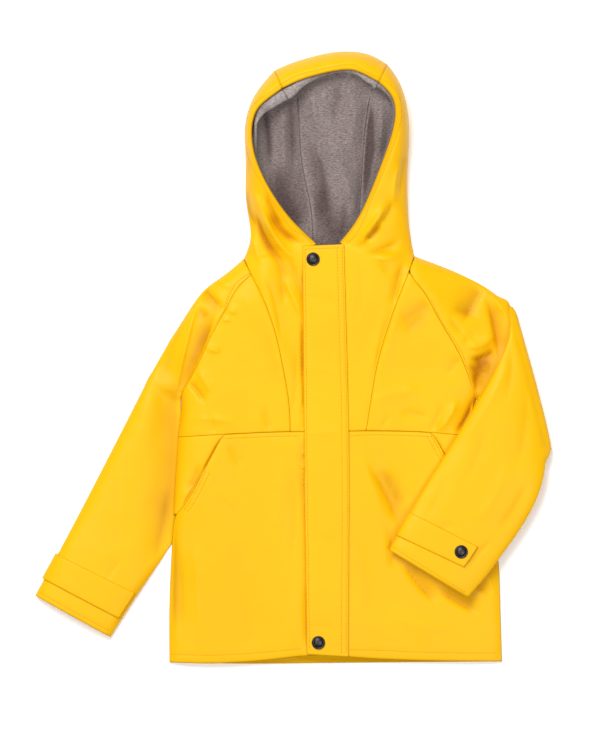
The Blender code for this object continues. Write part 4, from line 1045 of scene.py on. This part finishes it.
raglan_right = [(-0.047, 0.093), (-0.060, 0.085), (-0.071, 0.065), (-0.078, 0.047),
                (-0.090, 0.030), (-0.099, 0.009), (-0.110, -0.015), (-0.126, -0.043)]
raglan_left = [(0.129, 0.093), (0.145, 0.079), (0.154, 0.062), (0.166, 0.038),
               (0.178, 0.021), (0.189, 0.001), (0.197, -0.020), (0.206, -0.046)]
waist_right = [(-0.079, -0.087), (-0.030, -0.0850), (0.010, -0.084)]
waist_left = [(0.063, -0.084), (0.082, -0.083), (0.157, -0.085)]
pocket_right = [(-0.079, -0.088), (-0.100, -0.127), (-0.118, -0.161), (-0.126, -0.172)]
pocket_left = [(0.157, -0.086), (0.179, -0.125), (0.201, -0.161)]
hem_line = [(-0.138, -0.334), (-0.089, -0.335), (-0.025, -0.331), (0.012, -0.327)]
hem_line_left = [(0.064, -0.329), (0.076, -0.329), (0.151, -0.332), (0.232, -0.333)]
flap_free = [(0.011, 0.122), (0.012, 0.020), (0.013, -0.115), (0.016, -0.331)]
flap_sewn = [(0.057, 0.124), (0.059, 0.050), (0.062, -0.060), (0.062, -0.335)]

cuff_rows = [
    beside([(-0.2900, -0.2635), (-0.2075, -0.3090)], 0.0016),
    beside([(0.110, -0.2145), (0.194, -0.2665)], 0.0022),
]
hood_rim = [(0.024, 0.126), (0.017, 0.136), (-0.002, 0.147), (-0.013, 0.164), (-0.025, 0.181),
            (-0.035, 0.199), (-0.046, 0.219), (-0.050, 0.234), (-0.051, 0.259), (-0.048, 0.271),
            (-0.044, 0.279), (-0.024, 0.295), (0.002, 0.312), (0.027, 0.319), (0.047, 0.323),
            (0.068, 0.325), (0.081, 0.317), (0.099, 0.309), (0.114, 0.297), (0.118, 0.286),
            (0.119, 0.271), (0.114, 0.249), (0.104, 0.222), (0.095, 0.199), (0.084, 0.173),
            (0.076, 0.153), (0.063, 0.133), (0.055, 0.128)]
sew("stitching_hood", [hood_right, hood_left, hood_top], [beside(hood_rim, 0.0024)])
sew("stitching_raglans", [sleeve_right, sleeve_left], [
    beside(raglan_right, -0.0022), beside(raglan_left, 0.0022),
], ceiling=0.0188)
sew("stitching_fronts", [hood_right, hood_left, lower_right, lower_left], [
    beside(waist_right, -0.0042), beside(waist_left, -0.0042),
    beside(pocket_right[1:], 0.0022), beside(pocket_right[1:], 0.0068),
    beside(pocket_left, -0.0022), beside(pocket_left, -0.0068),
    beside(hem_line, 0.0), beside(hem_line_left, 0.0),
])
sew("stitching_flap", [flap], [
    beside(flap_free, 0.0025), beside(flap_sewn, -0.0018), beside(flap_sewn, -0.0076),
    beside([(0.013, 0.1225), (0.055, 0.1245)], -0.0012),
])
sew("stitching_cuffs", [sleeve_right, sleeve_left], cuff_rows)

# ---------------------------------------------------------- surface, light, view
# The coat lies on a plain pale surface and is seen from straight above, in soft light
# from a large lamp beyond the hood and two weaker ones, with faint light all round.

bpy.ops.object.select_all(action="DESELECT")
bpy.ops.mesh.primitive_plane_add(size=14.0, location=(0, 0, -0.0004))
surface = bpy.context.view_layer.objects.active
surface.name = surface.data.name = "surface"
white = bpy.data.materials.new("pale_surface")
white.use_nodes = True
paint = white.node_tree.nodes["Principled BSDF"].inputs
paint["Base Color"].default_value = (0.90, 0.90, 0.90, 1)
paint["Roughness"].default_value = 0.85
paint["Emission Color"].default_value = (1, 1, 1, 1)
paint["Emission Strength"].default_value = 0.20
surface.data.materials.append(white)


def lamp(name, place, size, power):
    """A square lamp that points at the coat's middle."""
    bpy.ops.object.light_add(type="AREA", location=place)
    light = bpy.context.view_layer.objects.active
    light.name = name
    light.data.shape = "SQUARE"
    light.data.size = size
    light.data.energy = power
    light.rotation_euler = (-Vector(place)).to_track_quat("-Z", "Y").to_euler()


lamp("window_lamp", (-0.60, 1.30, 2.50), 1.3, 70)
lamp("right_lamp", (0.95, -0.75, 2.60), 1.1, 26)
lamp("left_lamp", (-0.95, -0.60, 2.60), 1.1, 14)
world = bpy.data.worlds.new("room")
world.use_nodes = True
world.node_tree.nodes["Background"].inputs["Color"].default_value = (1, 1, 1, 1)
world.node_tree.nodes["Background"].inputs["Strength"].default_value = 0.15
bpy.context.scene.world = world

CAMERA_HEIGHT = 6.0
FRAME_HEIGHT = 0.84375
bpy.ops.object.camera_add(location=(0.0077, -0.0198, CAMERA_HEIGHT + 0.012), rotation=(0, 0, 0))
camera = bpy.context.view_layer.objects.active
camera.name = "camera"
camera.data.sensor_width = 36.0
camera.data.lens = 36.0 * CAMERA_HEIGHT / FRAME_HEIGHT
camera.data.clip_end = 40.0
bpy.context.scene.camera = camera
bpy.context.scene.view_settings.view_transform = "Standard"

bpy.ops.object.select_all(action="DESELECT")
